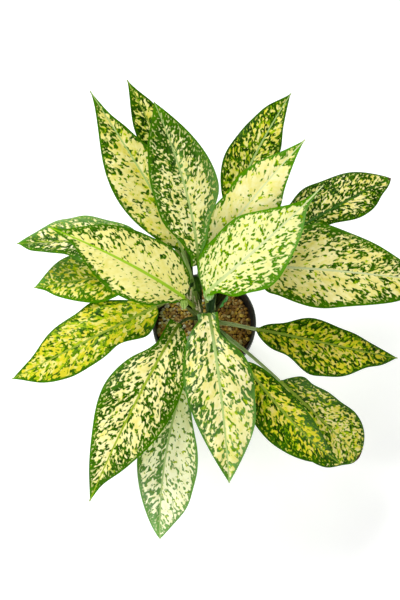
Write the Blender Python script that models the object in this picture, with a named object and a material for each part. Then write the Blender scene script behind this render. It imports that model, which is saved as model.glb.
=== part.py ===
"""Potted variegated Chinese evergreen: nursery pot, potting mix, three shoots, eighteen leaf blades.

Units are metres and +Z is up. The origin is the centre of the pot's flat base, on the pot's axis.
"""

import math
import random
from typing import NamedTuple

import bpy
import numpy as np
from mathutils import Vector, geometry

UP = np.array((0.0, 0.0, 1.0))

# Clearance between solids that touch on the real plant
GAP = 0.0003

# Pot
POT_SEGMENTS = 52
POT_HEIGHT = 0.115
RIM_RADIUS = 0.065
RIM_DEPTH = 0.0135
RIM_WIDTH = 0.003
RIM_ROUNDING = 0.0008
WALL_TOP_RADIUS = 0.0628
BASE_RADIUS = 0.046
BASE_CHAMFER = 0.001
WALL = 0.0015
FLOOR = 0.002
DRAIN_HOLES = 6
DRAIN_RADIUS = 0.004
DRAIN_CIRCLE = 0.033
DRAIN_SIDES = 12

# Potting mix: its level, and the grit that covers it
SOIL_LEVEL = 0.0965
GRIT_SPACING = 0.006
GRIT_HEIGHT = 0.0016
GRIT_LOWEST = 0.5
GRIT_JITTER = 0.22
GRIT_MARGIN = 0.33
GRIT_SEED = 7

# Shoots: the cane of each stands in a plain hole in the potting mix
CANE_SIDES = 10
CANE_RADIUS = 0.005
CANE_FOOT = 0.045
CANE_TOP = 0.162
CANE_INTERNODE = 0.009
CANE_RING = 0.0006
CANES = {"left": (-0.0075, 0.0045), "right": (0.0075, 0.0060), "front": (0.0005, -0.0085)}

# Petioles: lean is outwards per unit of rise at the foot. Climb and lead are the lengths of the curve's
# handles at the foot and at the blade, as fractions of the petiole's reach
PETIOLE_SIDES = 6
PETIOLE_STEPS = 10
PETIOLE_FOOT_RADIUS = 0.0031
PETIOLE_TIP_RADIUS = 0.0019
PETIOLE_LEAN = 0.35
PETIOLE_CLIMB = 0.4
PETIOLE_LEAD = 0.3

# Leaf blades. Fold shares: how much of a blade's fold holds at its middle, and what its ends add
BLADE = 0.0008
KEEL = 0.0013
BLADE_STEPS = 18
END_CROWDING = 0.6
HALF_STEPS = 2
LEFT = 0
RIGHT = 1
ROOT_HALF_WIDTH = 0.0026
TIP_HALF_WIDTH = 0.0007
BASE_CURVE = 2.0
TIP_CURVE = 1.8
FOLD_MIDDLE = 0.75
FOLD_ENDS = 0.9
EDGE_PHASE = 0.35
EDGE_FADE = 0.6

# Seedling beside the right shoot: stations are shares of the length and width of a leaf, and each leaf
# has its direction in degrees and its height above the soil
SEEDLING_FOOT = (0.0240, 0.0260)
SEEDLING_STEM = 0.0009
SEEDLING_HEIGHT = 0.019
SEEDLING_DEPTH = 0.008
SEEDLING_LEAF_LENGTH = 0.010
SEEDLING_LEAF_WIDTH = 0.0060
SEEDLING_LEAF_RISE = 0.45
SEEDLING_LEAF_STATIONS = ((0, 0.2), (0.45, 1), (1, 0.12))
SEEDLING_LEAVES = ((50, 0.0175), (225, 0.0140), (130, 0.0105))


class Leaf(NamedTuple):
    """A leaf: where its petiole leaves the cane, where its blade runs, and the blade's outline.

    The left and right halves are those seen from the root towards the tip, from above. A half is widest
    at its peak, a fraction of the length. A high base power makes its base wedge-shaped and a low one
    round, and drip does the same for the tip. Rise and sway bend the midrib up and to the right, as
    fractions of the length. Roll, fold and curl are in degrees: roll lowers the right edge, fold raises
    both halves from the midrib, and curl bends each half over towards its edge. A wave is the height of
    the edge's waves, waves how many there are, and phase where they start. Foot is the half-widths at the
    root. A bulge is (place along the length, half, share that it adds to the half's width, its reach).
    Handles are the petiole's climb and lead.
    """

    shoot: str
    node: float
    root: tuple
    tip: tuple
    rise: tuple
    sway: tuple
    widths: tuple
    peaks: tuple
    bases: tuple = (0.7, 0.7)
    drip: float = 1.2
    roll: float = 0
    fold: float = 14
    curl: float = 30
    wave: float = 0.002
    waves: float = 2.0
    phase: float = 0.0
    foot: tuple = (ROOT_HALF_WIDTH, ROOT_HALF_WIDTH)
    bulges: tuple = ()
    handles: tuple = (PETIOLE_CLIMB, PETIOLE_LEAD)


# Clockwise from the back left, as the blades are numbered
LEAVES = (
    Leaf("left", 0.140, (-0.010, 0.084, 0.215), (-0.088, 0.226, 0.302), (0.10, 0.08), (0, 0),
         (0.030, 0.025), (0.42, 0.42), fold=18,
         bulges=((0.60, LEFT, -0.15, 0.10), (0.82, RIGHT, 0.30, 0.10))),
    Leaf("left", 0.152, (-0.025, 0.047, 0.228), (-0.124, 0.189, 0.335), (0.10, 0.06), (0.02, 0),
         (0.038, 0.031), (0.42, 0.38), (0.9, 0.7), 1.35, fold=20, wave=0.0025, phase=0.2, foot=(0.004, 0.004),
         bulges=((0.60, LEFT, 0.10, 0.20), (0.68, RIGHT, -0.15, 0.10), (0.88, RIGHT, -0.50, 0.12))),
    Leaf("right", 0.156, (-0.007, 0.030, 0.228), (-0.052, 0.149, 0.375), (0.06, 0.04), (0.05, 0.045),
         (0.038, 0.038), (0.50, 0.46), (1.0, 2.0), 1.05, fold=18, wave=0.0025, phase=0.6, foot=(0.009, 0.003),
         bulges=((0.15, LEFT, -0.20, 0.12), (0.26, RIGHT, -0.30, 0.11), (0.50, LEFT, -0.07, 0.12),
                 (0.87, LEFT, 0.22, 0.12))),
    Leaf("right", 0.140, (0.030, 0.104, 0.205), (0.100, 0.223, 0.280), (0.10, 0.08), (-0.03, -0.02),
         (0.034, 0.024), (0.45, 0.42), (0.9, 0.7), fold=18, phase=0.4,
         bulges=((0.52, LEFT, -0.06, 0.12), (0.86, LEFT, 0.16, 0.10), (0.62, RIGHT, 0.18, 0.10))),
    Leaf("right", 0.148, (0.002, 0.042, 0.212), (0.108, 0.139, 0.318), (0.10, 0.08), (0, 0),
         (0.034, 0.031), (0.42, 0.40), (1.0, 0.7), 1.25, fold=18, wave=0.0025, phase=0.1, foot=(0.004, 0.004),
         bulges=((0.13, LEFT, -0.18, 0.06), (0.44, LEFT, -0.15, 0.10), (0.75, LEFT, 0.08, 0.10),
                 (0.60, RIGHT, 0.18, 0.08))),
    Leaf("right", 0.154, (0.0015, -0.005, 0.230), (0.126, 0.088, 0.310), (0.12, 0.10), (0.04, 0.055),
         (0.042, 0.042), (0.32, 0.37), (0.5, 0.7), 1.6, wave=0.003, phase=0.7, foot=(0.006, 0.005),
         bulges=((0.06, LEFT, 0.30, 0.08), (0.18, LEFT, 0.07, 0.06), (0.51, LEFT, 0.20, 0.15),
                 (0.88, LEFT, -0.45, 0.12), (0.07, RIGHT, -0.55, 0.07), (0.22, RIGHT, -0.18, 0.10),
                 (0.88, RIGHT, -0.55, 0.10)),
         handles=(0.45, 0.10)),
    Leaf("right", 0.136, (0.086, 0.083, 0.170), (0.226, 0.153, 0.205), (0.12, 0.12), (0.02, 0.02),
         (0.040, 0.028), (0.55, 0.62), (0.5, 1.8), 0.85, fold=10, wave=0.0025, waves=2.5, phase=0.3,
         bulges=((0.36, LEFT, 0.12, 0.15), (0.43, RIGHT, -0.35, 0.14), (0.88, RIGHT, -0.15, 0.06))),
    Leaf("right", 0.130, (0.062, 0.038, 0.203), (0.279, 0.021, 0.197), (0.12, 0.12), (0.02, 0.045),
         (0.057, 0.047), (0.36, 0.37), (0.6, 0.5), 1.3, fold=10, curl=25, wave=0.003, waves=2.5, phase=0.5,
         bulges=((0.27, LEFT, 0.07, 0.10), (0.78, LEFT, -0.20, 0.15), (0.05, RIGHT, 0.20, 0.05),
                 (0.45, RIGHT, -0.07, 0.12), (0.80, RIGHT, 0.15, 0.12))),
    Leaf("front", 0.132, (0.061, -0.026, 0.165), (0.233, -0.053, 0.135), (0.12, 0.12), (0.03, 0.05),
         (0.028, 0.038), (0.36, 0.50), (0.9, 0.7), roll=10, fold=12, wave=0.0025, waves=2.5, phase=0.8,
         bulges=((0.15, LEFT, -0.35, 0.12), (0.55, LEFT, -0.10, 0.10), (0.22, RIGHT, -0.20, 0.09),
                 (0.40, RIGHT, 0.10, 0.08), (0.78, RIGHT, -0.22, 0.09))),
    Leaf("front", 0.122, (0.088, -0.088, 0.160), (0.184, -0.168, 0.110), (0.14, 0.14), (0.03, 0.03),
         (0.040, 0.044), (0.70, 0.60), (0.7, 0.9), 0.5, fold=6, wave=0.003, phase=0.35,
         bulges=((0.08, LEFT, 0.50, 0.09), (0.50, LEFT, -0.10, 0.14), (0.93, RIGHT, -0.25, 0.10))),
    Leaf("front", 0.138, (0.044, -0.071, 0.185), (0.156, -0.181, 0.142), (0.12, 0.12), (0.08, 0.09),
         (0.026, 0.036), (0.45, 0.50), fold=12, phase=0.15,
         bulges=((0.40, LEFT, -0.16, 0.30), (0.60, RIGHT, -0.06, 0.15))),
    Leaf("front", 0.154, (0.005, -0.025, 0.218), (0.026, -0.210, 0.200), (0.14, 0.14), (-0.01, -0.01),
         (0.040, 0.039), (0.52, 0.40), (2.0, 0.7), 1.05, wave=0.003, waves=2.5, phase=0.55,
         foot=(0.010, 0.014),
         bulges=((0.10, LEFT, -0.20, 0.05), (0.27, LEFT, 0.17, 0.12), (0.55, LEFT, -0.07, 0.10)),
         handles=(0.40, 0.15)),
    Leaf("front", 0.126, (-0.017, -0.073, 0.168), (-0.050, -0.263, 0.135), (0.12, 0.12), (0.06, 0.06),
         (0.038, 0.034), (0.60, 0.50), (1.6, 0.7), 0.9, fold=12, wave=0.0035, waves=2.5, phase=0.25,
         bulges=((0.30, LEFT, -0.10, 0.12), (0.84, LEFT, 0.13, 0.10), (0.70, RIGHT, -0.05, 0.20))),
    Leaf("front", 0.146, (-0.029, -0.031, 0.200), (-0.125, -0.227, 0.180), (0.14, 0.14), (0, 0),
         (0.042, 0.041), (0.42, 0.46), (0.7, 1.6), wave=0.003, waves=2.5, phase=0.65, foot=(0.004, 0.012),
         bulges=((0.63, LEFT, 0.06, 0.10), (0.93, LEFT, -0.40, 0.08), (0.17, RIGHT, -0.28, 0.07))),
    Leaf("left", 0.134, (-0.057, 0.001, 0.168), (-0.227, -0.083, 0.150), (0.12, 0.12), (-0.03, -0.04),
         (0.030, 0.038), (0.62, 0.48), (0.4, 0.7), wave=0.003, phase=0.45,
         bulges=((0.12, LEFT, 0.35, 0.08), (0.31, LEFT, -0.18, 0.08), (0.84, LEFT, 0.14, 0.10),
                 (0.33, RIGHT, 0.17, 0.10), (0.84, RIGHT, -0.25, 0.12)), handles=(1.40, 0.50)),
    Leaf("left", 0.126, (-0.077, 0.037, 0.181), (-0.204, 0.024, 0.171), (0.12, 0.12), (-0.02, -0.02),
         (0.030, 0.040), (0.42, 0.45), fold=12, phase=0.05,
         bulges=((0.90, LEFT, -0.20, 0.06), (0.80, RIGHT, 0.26, 0.16))),
    Leaf("left", 0.154, (-0.023, -0.009, 0.226), (-0.169, 0.051, 0.285), (0.14, 0.10), (0, 0),
         (0.037, 0.042), (0.38, 0.40), (0.7, 0.35), 1.35, fold=20, curl=40, wave=0.0025, phase=0.75,
         foot=(0.004, 0.004),
         bulges=((0.10, LEFT, -0.20, 0.06), (0.86, LEFT, -0.40, 0.12), (0.24, RIGHT, 0.10, 0.12),
                 (0.72, RIGHT, 0.10, 0.10), (0.93, RIGHT, -0.35, 0.06))),
    Leaf("left", 0.130, (-0.070, 0.070, 0.195), (-0.223, 0.071, 0.195), (0.12, 0.12), (-0.02, -0.03),
         (0.036, 0.044), (0.42, 0.45), roll=25, fold=22, wave=0.003, phase=0.9,
         bulges=((0.57, LEFT, -0.22, 0.10), (0.90, LEFT, 0.40, 0.10), (0.76, RIGHT, 0.36, 0.12))),
)


def clear_scene():
    for obj in list(bpy.data.objects):
        bpy.data.objects.remove(obj, do_unlink=True)


def make_material(name, colour, roughness):
    material = bpy.data.materials.new(name)
    material.use_nodes = True
    shader = material.node_tree.nodes["Principled BSDF"]
    shader.inputs["Base Color"].default_value = (*colour, 1)
    shader.inputs["Roughness"].default_value = roughness
    shader.inputs["Metallic"].default_value = 0
    return material


def make_object(name, vertices, faces, material=None, sharp_angle=40):
    mesh = bpy.data.meshes.new(name)
    mesh.from_pydata([tuple(map(float, vertex)) for vertex in vertices], [], faces)
    mesh.validate()
    if material:
        mesh.materials.append(material)
    mesh.shade_smooth()
    mesh.set_sharp_from_angle(angle=math.radians(sharp_angle))
    obj = bpy.data.objects.new(name, mesh)
    bpy.context.scene.collection.objects.link(obj)
    return obj


def apply_modifiers(obj):
    graph = bpy.context.evaluated_depsgraph_get()
    mesh = bpy.data.meshes.new_from_object(obj.evaluated_get(graph))
    obj.modifiers.clear()
    obj.data = mesh


def boolean_with(obj, operation, others):
    """Applies one Boolean of obj with all the others, which are then removed."""
    group = bpy.data.collections.new(obj.name + "_group")
    bpy.context.scene.collection.children.link(group)
    for other in others:
        bpy.context.scene.collection.objects.unlink(other)
        group.objects.link(other)
    modifier = obj.modifiers.new(operation.lower(), "BOOLEAN")
    modifier.operation = operation
    modifier.solver = "EXACT"
    modifier.operand_type = "COLLECTION"
    modifier.collection = group
    apply_modifiers(obj)
    for other in others:
        bpy.data.objects.remove(other, do_unlink=True)
    bpy.data.collections.remove(group)


def ring(radius, height, sides, centre=(0, 0)):
    angles = [2 * math.pi * side / sides for side in range(sides)]
    return [(centre[0] + radius * math.cos(a), centre[1] + radius * math.sin(a), height) for a in angles]


def lathe(profile, sides, centre=(0, 0)):
    """A turned solid, whose profile runs from the axis below, outside, to the axis above."""
    vertices = [(centre[0], centre[1], profile[0][1])]
    for radius, height in profile[1:-1]:
        vertices += ring(radius, height, sides, centre)
    vertices.append((centre[0], centre[1], profile[-1][1]))
    rings = len(profile) - 2
    last = len(vertices) - 1
    faces = []
    for side in range(sides):
        after = (side + 1) % sides
        faces.append((0, 1 + after, 1 + side))
        faces.append((last, last - sides + side, last - sides + after))
        for level in range(rings - 1):
            low = 1 + level * sides
            high = low + sides
            faces.append((low + side, low + after, high + after, high + side))
    return vertices, faces


def pot_inner_radius(height):
    """Radius of the pot's inner wall, which tapers evenly from the rim to the floor."""
    low = BASE_RADIUS - WALL
    high = WALL_TOP_RADIUS - WALL
    return low + (high - low) * (height - FLOOR) / (POT_HEIGHT - RIM_DEPTH - FLOOR)


def make_pot():
    rim_bottom = POT_HEIGHT - RIM_DEPTH
    rim_inner = RIM_RADIUS - RIM_WIDTH
    outer = [
        (0, 0),
        (BASE_RADIUS - BASE_CHAMFER, 0),
        (BASE_RADIUS, BASE_CHAMFER),
        (WALL_TOP_RADIUS, rim_bottom),
        (RIM_RADIUS - RIM_ROUNDING, rim_bottom),
        (RIM_RADIUS, rim_bottom + RIM_ROUNDING),
        (RIM_RADIUS, POT_HEIGHT - RIM_ROUNDING),
        (RIM_RADIUS - RIM_ROUNDING, POT_HEIGHT),
    ]
    inner = [
        (rim_inner + RIM_ROUNDING, POT_HEIGHT),
        (rim_inner, POT_HEIGHT - RIM_ROUNDING),
        (pot_inner_radius(rim_bottom), rim_bottom),
        (pot_inner_radius(FLOOR), FLOOR),
        (0, FLOOR),
    ]
    pot = make_object("pot", *lathe(outer + inner, POT_SEGMENTS))
    boolean_with(pot, "DIFFERENCE", [make_drain_cutter(index) for index in range(DRAIN_HOLES)])
    finish(pot, make_material("pot plastic", (0.012, 0.012, 0.013), 0.42))


def make_drain_cutter(index):
    angle = 2 * math.pi * (index + 0.5) / DRAIN_HOLES
    centre = (DRAIN_CIRCLE * math.cos(angle), DRAIN_CIRCLE * math.sin(angle))
    profile = [(0, -FLOOR), (DRAIN_RADIUS, -FLOOR), (DRAIN_RADIUS, 2 * FLOOR), (0, 2 * FLOOR)]
    return make_object("drain_cutter", *lathe(profile, DRAIN_SIDES, centre))


def finish(obj, material, sharp_angle=40):
    """Gives a Boolean's result its material and its shading."""
    obj.data.materials.clear()
    obj.data.materials.append(material)
    obj.data.shade_smooth()
    obj.data.set_sharp_from_angle(angle=math.radians(sharp_angle))


def grit_points(radius):
    """Seeded points (x, y, rise) of the grit: stones on a hexagonal grid, with low points between them."""
    draw = random.Random(GRIT_SEED)
    row_step = GRIT_SPACING * math.sqrt(3) / 2
    reach = int(radius / row_step) + 2
    points = []
    for row in range(-reach, reach + 1):
        y = row * row_step
        for column in range(-reach, reach + 1):
            x = (column + 0.5 * (row % 2)) * GRIT_SPACING
            across = draw.uniform(-GRIT_JITTER, GRIT_JITTER) * GRIT_SPACING
            along = draw.uniform(-GRIT_JITTER, GRIT_JITTER) * GRIT_SPACING
            points.append((x + across, y + along, GRIT_HEIGHT * draw.uniform(GRIT_LOWEST, 1)))
            points.append((x + GRIT_SPACING / 2, y + row_step / 3, 0))
            points.append((x, y + row_step * 2 / 3, 0))
    return points


def clear_of_rings(point, outer_radius):
    """Whether a grit point stays far enough inside the soil's rim and outside the canes' holes."""
    margin = GRIT_SPACING * GRIT_MARGIN
    if math.hypot(point[0], point[1]) > outer_radius - margin:
        return False
    hole_edge = CANE_RADIUS + GAP + margin
    holes = [*CANES.values(), SEEDLING_FOOT]
    return all(math.hypot(point[0] - x, point[1] - y) > hole_edge for x, y in holes)


def cane_hole(centre):
    """(centre, radius, depth, sides) of the plain hole that a cane stands in."""
    return centre, CANE_RADIUS + GAP, CANE_FOOT - GAP, CANE_SIDES


def make_potting_mix():
    """The mix fills the pot. Its top is a Delaunay net through the grit, the rim and the holes' edges."""
    outer_radius = pot_inner_radius(SOIL_LEVEL) - GAP
    rings = [ring(outer_radius, SOIL_LEVEL, POT_SEGMENTS)]
    holes = [cane_hole(centre) for centre in CANES.values()]
    seedling_radius = SEEDLING_STEM + GAP
    holes.append((SEEDLING_FOOT, seedling_radius, SOIL_LEVEL - SEEDLING_DEPTH - GAP, PETIOLE_SIDES))
    rings += [ring(radius, SOIL_LEVEL, sides, centre) for centre, radius, _, sides in holes]

    vertices = []
    loops = []
    for loop in rings:
        first = len(vertices)
        loops.append(list(range(first, first + len(loop))))
        vertices += loop
    edges = [(loop[i - 1], loop[i]) for loop in loops for i in range(len(loop))]
    grit = [point for point in grit_points(outer_radius) if clear_of_rings(point, outer_radius)]
    vertices += [(x, y, SOIL_LEVEL + rise) for x, y, rise in grit]

    flat = [Vector(vertex[:2]) for vertex in vertices]
    net = geometry.delaunay_2d_cdt(flat, edges, [], 0, 1e-7, True)
    source = [origins[0] for origins in net[3]]
    in_hole = {index: number for number, loop in enumerate(loops[1:]) for index in loop}
    faces = []
    for triangle in net[2]:
        corners = [source[corner] for corner in triangle]
        numbers = {in_hole.get(corner) for corner in corners}
        if len(numbers) == 1 and None not in numbers:
            continue
        faces.append(tuple(corners))

    base = ring(pot_inner_radius(FLOOR + GAP) - GAP, FLOOR + GAP, POT_SEGMENTS)
    add_wall(vertices, faces, loops[0], base, outward=True)
    for loop, (centre, radius, bottom, sides) in zip(loops[1:], holes):
        add_wall(vertices, faces, loop, ring(radius, bottom, sides, centre), outward=False)
    mix = make_object("potting_mix", vertices, faces)
    finish(mix, make_material("grit", (0.36, 0.22, 0.10), 0.85), sharp_angle=30)


def add_wall(vertices, faces, upper, lower_ring, outward):
    """A wall from an upper loop of vertices down to a lower ring, and the ring's flat face."""
    first = len(vertices)
    vertices += lower_ring
    lower = list(range(first, len(vertices)))
    for i in range(len(upper)):
        corners = (lower[i - 1], lower[i], upper[i], upper[i - 1])
        faces.append(corners if outward else corners[::-1])
    faces.append(tuple(reversed(lower)) if outward else tuple(lower))


def unit(vectors):
    return vectors / np.linalg.norm(vectors, axis=-1, keepdims=True)


def bezier(controls, t):
    t = np.asarray(t)[:, None]
    start, first, second, end = controls
    return (1 - t) ** 3 * start + 3 * (1 - t) ** 2 * t * first + 3 * (1 - t) * t**2 * second + t**3 * end


def bezier_direction(controls, t):
    t = np.asarray(t)[:, None]
    start, first, second, end = controls
    slope = (1 - t) ** 2 * (first - start) + 2 * (1 - t) * t * (second - first) + t**2 * (end - second)
    return unit(slope)


def midrib(leaf):
    """The four control points of a leaf's midrib, from its root to its tip."""
    root = np.array(leaf.root)
    tip = np.array(leaf.tip)
    length = np.linalg.norm(tip - root)
    along = (tip - root) / length
    lift = unit(UP - (UP @ along) * along)
    right = np.cross(along, lift)
    bends = [(lift * rise + right * sway) * length for rise, sway in zip(leaf.rise, leaf.sway)]
    return root, root + (tip - root) / 3 + bends[0], root + (tip - root) * 2 / 3 + bends[1], tip


def outline(t, peak, base_power, drip):
    """Half-width of a blade, as a fraction of its widest, at the fractions t of its length."""
    base = 1 - (np.clip(peak - t, 0, 1) / peak) ** BASE_CURVE
    tip = 1 - (np.clip(t - peak, 0, 1) / (1 - peak)) ** TIP_CURVE
    return np.where(t < peak, base**base_power, tip**drip)


def half_width(leaf, half, t):
    """The width in metres of a blade's left or right half, at the fractions t of its length."""
    width = leaf.widths[half] * outline(t, leaf.peaks[half], leaf.bases[half], leaf.drip)
    for at, side, share, reach in leaf.bulges:
        if side == half:
            width = width * (1 + share * np.exp(-(((t - at) / reach) ** 2)))
    return np.maximum(width, leaf.foot[half] + (TIP_HALF_WIDTH - leaf.foot[half]) * t)


def blade_stations(steps):
    """Fractions of a blade's length, crowded towards both ends, where its outline turns most."""
    even = np.linspace(0, 1, steps + 1)
    return (1 - END_CROWDING) * even + END_CROWDING * (1 - np.cos(math.pi * even)) / 2


def blade_frame(leaf, t):
    """The midrib's points, and its right-hand and upward directions, at the fractions t."""
    controls = midrib(leaf)
    along = bezier_direction(controls, t)
    level_up = unit(UP - (along @ UP)[:, None] * along)
    level_right = np.cross(along, level_up)
    roll = math.radians(leaf.roll)
    up = level_up * math.cos(roll) + level_right * math.sin(roll)
    right = level_right * math.cos(roll) - level_up * math.sin(roll)
    return bezier(controls, t), right, up


def blade_sheet(leaf, t, across):
    """Upper surface of a blade at each (t, across), with across running from -1, left, to 1, right."""
    centre, right, up = blade_frame(leaf, t)
    fold = math.radians(leaf.fold) * (FOLD_MIDDLE + FOLD_ENDS * (1 - 2 * t) ** 2)
    curl = math.radians(leaf.curl)
    rows = []
    for share in across:
        half = RIGHT if share > 0 else LEFT
        reach = abs(share)
        width = half_width(leaf, half, t)
        outwards = width * (np.sin(fold) - np.sin(fold - curl * reach)) / curl
        height = width * (np.cos(fold - curl * reach) - np.cos(fold)) / curl
        turn = 2 * math.pi * (leaf.waves * t + leaf.phase + EDGE_PHASE * half)
        height = height + leaf.wave * reach**2 * np.sin(turn) * np.sin(math.pi * t) ** EDGE_FADE
        rows.append(centre + right * (outwards * np.sign(share))[:, None] + up * height[:, None])
    return np.stack(rows, axis=1)


def make_blade(name, leaf, material):
    """A thin closed sheet with a keel under its midrib. Both faces are split into the same triangles."""
    t = blade_stations(BLADE_STEPS)
    across = np.linspace(-1, 1, 2 * HALF_STEPS + 1)
    top = blade_sheet(leaf, t, across)
    up = blade_frame(leaf, t)[2]
    depth = np.full((len(t), len(across)), BLADE)
    depth[:, HALF_STEPS] += KEEL * (1 - t)
    bottom = top - up[:, None, :] * depth[:, :, None]
    vertices = np.concatenate([top.reshape(-1, 3), bottom.reshape(-1, 3)])

    columns = len(across)
    under = len(t) * columns
    faces = []
    for row in range(len(t) - 1):
        for column in range(columns - 1):
            a = row * columns + column
            b, c, d = a + 1, a + columns + 1, a + columns
            halves = ((a, b, c), (a, c, d)) if column >= HALF_STEPS else ((a, b, d), (b, c, d))
            for triangle in halves:
                faces.append(triangle)
                faces.append(tuple(under + corner for corner in reversed(triangle)))
    rows = range(len(t))
    edge = [row * columns for row in reversed(rows)] + list(range(1, columns - 1))
    edge += [row * columns + columns - 1 for row in rows]
    edge += [(len(t) - 1) * columns + column for column in range(columns - 2, 0, -1)]
    for a, b in zip(edge, edge[1:] + edge[:1]):
        faces.append((b, a, under + a))
        faces.append((b, under + a, under + b))
    make_object(name, vertices, faces, material, sharp_angle=60)


def petiole_path(leaf):
    """Control points from the cane's axis, up and out, to the back of the blade's root."""
    foot = np.array((*CANES[leaf.shoot], leaf.node))
    controls = midrib(leaf)
    into_blade = unit(controls[1] - controls[0])
    up = blade_frame(leaf, np.array((0.0,)))[2][0]
    end = controls[0] - into_blade * GAP - up * BLADE / 2
    reach = np.linalg.norm(end - foot)
    outwards = unit((end - foot) * (1, 1, 0))
    climb = unit(UP + PETIOLE_LEAN * outwards)
    return foot, foot + climb * reach * leaf.handles[0], end - into_blade * reach * leaf.handles[1], end


def tube(points, directions, radii, sides):
    """Vertices and faces of a tube with flat ends, whose rings turn as little as they can."""
    across = unit(np.cross(directions[0], (1.0, 0.3, 0.1)))
    vertices = []
    for point, direction, radius in zip(points, directions, radii):
        across = unit(across - (across @ direction) * direction)
        beside = np.cross(direction, across)
        for side in range(sides):
            angle = 2 * math.pi * side / sides
            vertices.append(point + radius * (math.cos(angle) * across + math.sin(angle) * beside))
    faces = [tuple(reversed(range(sides)))]
    for level in range(len(points) - 1):
        low = level * sides
        for side in range(sides):
            after = (side + 1) % sides
            faces.append((low + side, low + after, low + sides + after, low + sides + side))
    faces.append(tuple(range(len(vertices) - sides, len(vertices))))
    return vertices, faces


def make_petiole(leaf):
    controls = petiole_path(leaf)
    t = np.linspace(0, 1, PETIOLE_STEPS)
    radii = PETIOLE_TIP_RADIUS + (PETIOLE_FOOT_RADIUS - PETIOLE_TIP_RADIUS) * (1 - t) ** 2
    points = bezier(controls, t)
    return make_object("petiole", *tube(points, bezier_direction(controls, t), radii, PETIOLE_SIDES))


def make_shoot(name, material):
    """A ringed cane and the petioles that grow from it, joined into one green solid."""
    profile = [(0, CANE_FOOT), (CANE_RADIUS, CANE_FOOT)]
    height = SOIL_LEVEL + CANE_INTERNODE
    while height < CANE_TOP - CANE_INTERNODE / 2:
        profile += [
            (CANE_RADIUS, height - 2 * CANE_RING),
            (CANE_RADIUS + CANE_RING, height),
            (CANE_RADIUS, height + 2 * CANE_RING),
        ]
        height += CANE_INTERNODE
    profile += [(CANE_RADIUS, CANE_TOP - CANE_RADIUS / 2), (CANE_RADIUS / 2, CANE_TOP), (0, CANE_TOP)]
    cane = make_object("shoot_" + name, *lathe(profile, CANE_SIDES, CANES[name]))
    petioles = [make_petiole(leaf) for leaf in LEAVES if leaf.shoot == name]
    boolean_with(cane, "UNION", petioles)
    finish(cane, material, sharp_angle=50)


def make_seedling(material):
    """A seedling with three small leaves, in a hole of its own beside the right shoot."""
    x, y = SEEDLING_FOOT
    foot = SOIL_LEVEL - SEEDLING_DEPTH
    top = SOIL_LEVEL + SEEDLING_HEIGHT
    profile = [(0, foot), (SEEDLING_STEM, foot), (SEEDLING_STEM, top), (0, top)]
    stem = make_object("seedling", *lathe(profile, PETIOLE_SIDES, SEEDLING_FOOT))
    leaves = [make_seedling_leaf((x, y, SOIL_LEVEL + rise), turn) for turn, rise in SEEDLING_LEAVES]
    boolean_with(stem, "UNION", leaves)
    finish(stem, material)


def make_seedling_leaf(start, turn):
    """A small pointed leaf that starts on the stem's axis and leans outwards."""
    angle = math.radians(turn)
    forward = Vector((math.cos(angle), math.sin(angle), SEEDLING_LEAF_RISE))
    side = Vector((-math.sin(angle), math.cos(angle), 0))
    points = []
    for share, width in SEEDLING_LEAF_STATIONS:
        middle = Vector(start) + forward * SEEDLING_LEAF_LENGTH * share
        half = side * SEEDLING_LEAF_WIDTH / 2 * width
        points += [middle - half, middle + half]
    lower = [point - Vector((0, 0, BLADE)) for point in points]
    faces = []
    for low in (0, 2):
        faces.append((low, low + 2, low + 3, low + 1))
        faces.append((low + 6, low + 7, low + 9, low + 8))
        faces.append((low, low + 6, low + 8, low + 2))
        faces.append((low + 1, low + 3, low + 9, low + 7))
    faces.append((0, 1, 7, 6))
    faces.append((4, 10, 11, 5))
    return make_object("seedling_leaf", points + lower, faces)


def main():
    clear_scene()
    make_pot()
    make_potting_mix()
    green = make_material("stem green", (0.16, 0.28, 0.05), 0.45)
    for name in CANES:
        make_shoot(name, green)
    make_seedling(make_material("seedling green", (0.10, 0.40, 0.08), 0.5))
    variegated = make_material("variegated leaf", (0.45, 0.50, 0.12), 0.35)
    for number, leaf in enumerate(LEAVES, start=1):
        make_blade(f"leaf_blade_{number:02d}", leaf, variegated)


main()
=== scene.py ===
"""Looks for the potted chinese evergreen: fine leaves, stems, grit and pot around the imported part."""

import math
import random
from statistics import NormalDist
from typing import NamedTuple

import bmesh
import bpy
import numpy as np
from mathutils import Matrix, Vector


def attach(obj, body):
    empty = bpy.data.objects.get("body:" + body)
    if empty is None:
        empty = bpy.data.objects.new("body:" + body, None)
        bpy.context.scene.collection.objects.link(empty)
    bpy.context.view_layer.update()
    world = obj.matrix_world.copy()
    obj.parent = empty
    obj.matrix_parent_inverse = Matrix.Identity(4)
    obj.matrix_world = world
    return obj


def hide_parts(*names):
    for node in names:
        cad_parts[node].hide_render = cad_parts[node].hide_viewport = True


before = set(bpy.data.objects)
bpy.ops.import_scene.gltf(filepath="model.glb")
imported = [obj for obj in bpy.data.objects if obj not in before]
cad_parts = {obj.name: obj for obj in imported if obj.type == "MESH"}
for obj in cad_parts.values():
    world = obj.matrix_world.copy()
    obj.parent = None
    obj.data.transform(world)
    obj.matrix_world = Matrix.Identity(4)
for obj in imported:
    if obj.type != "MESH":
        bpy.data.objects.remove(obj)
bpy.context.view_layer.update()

UP = np.array((0.0, 0.0, 1.0))

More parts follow.
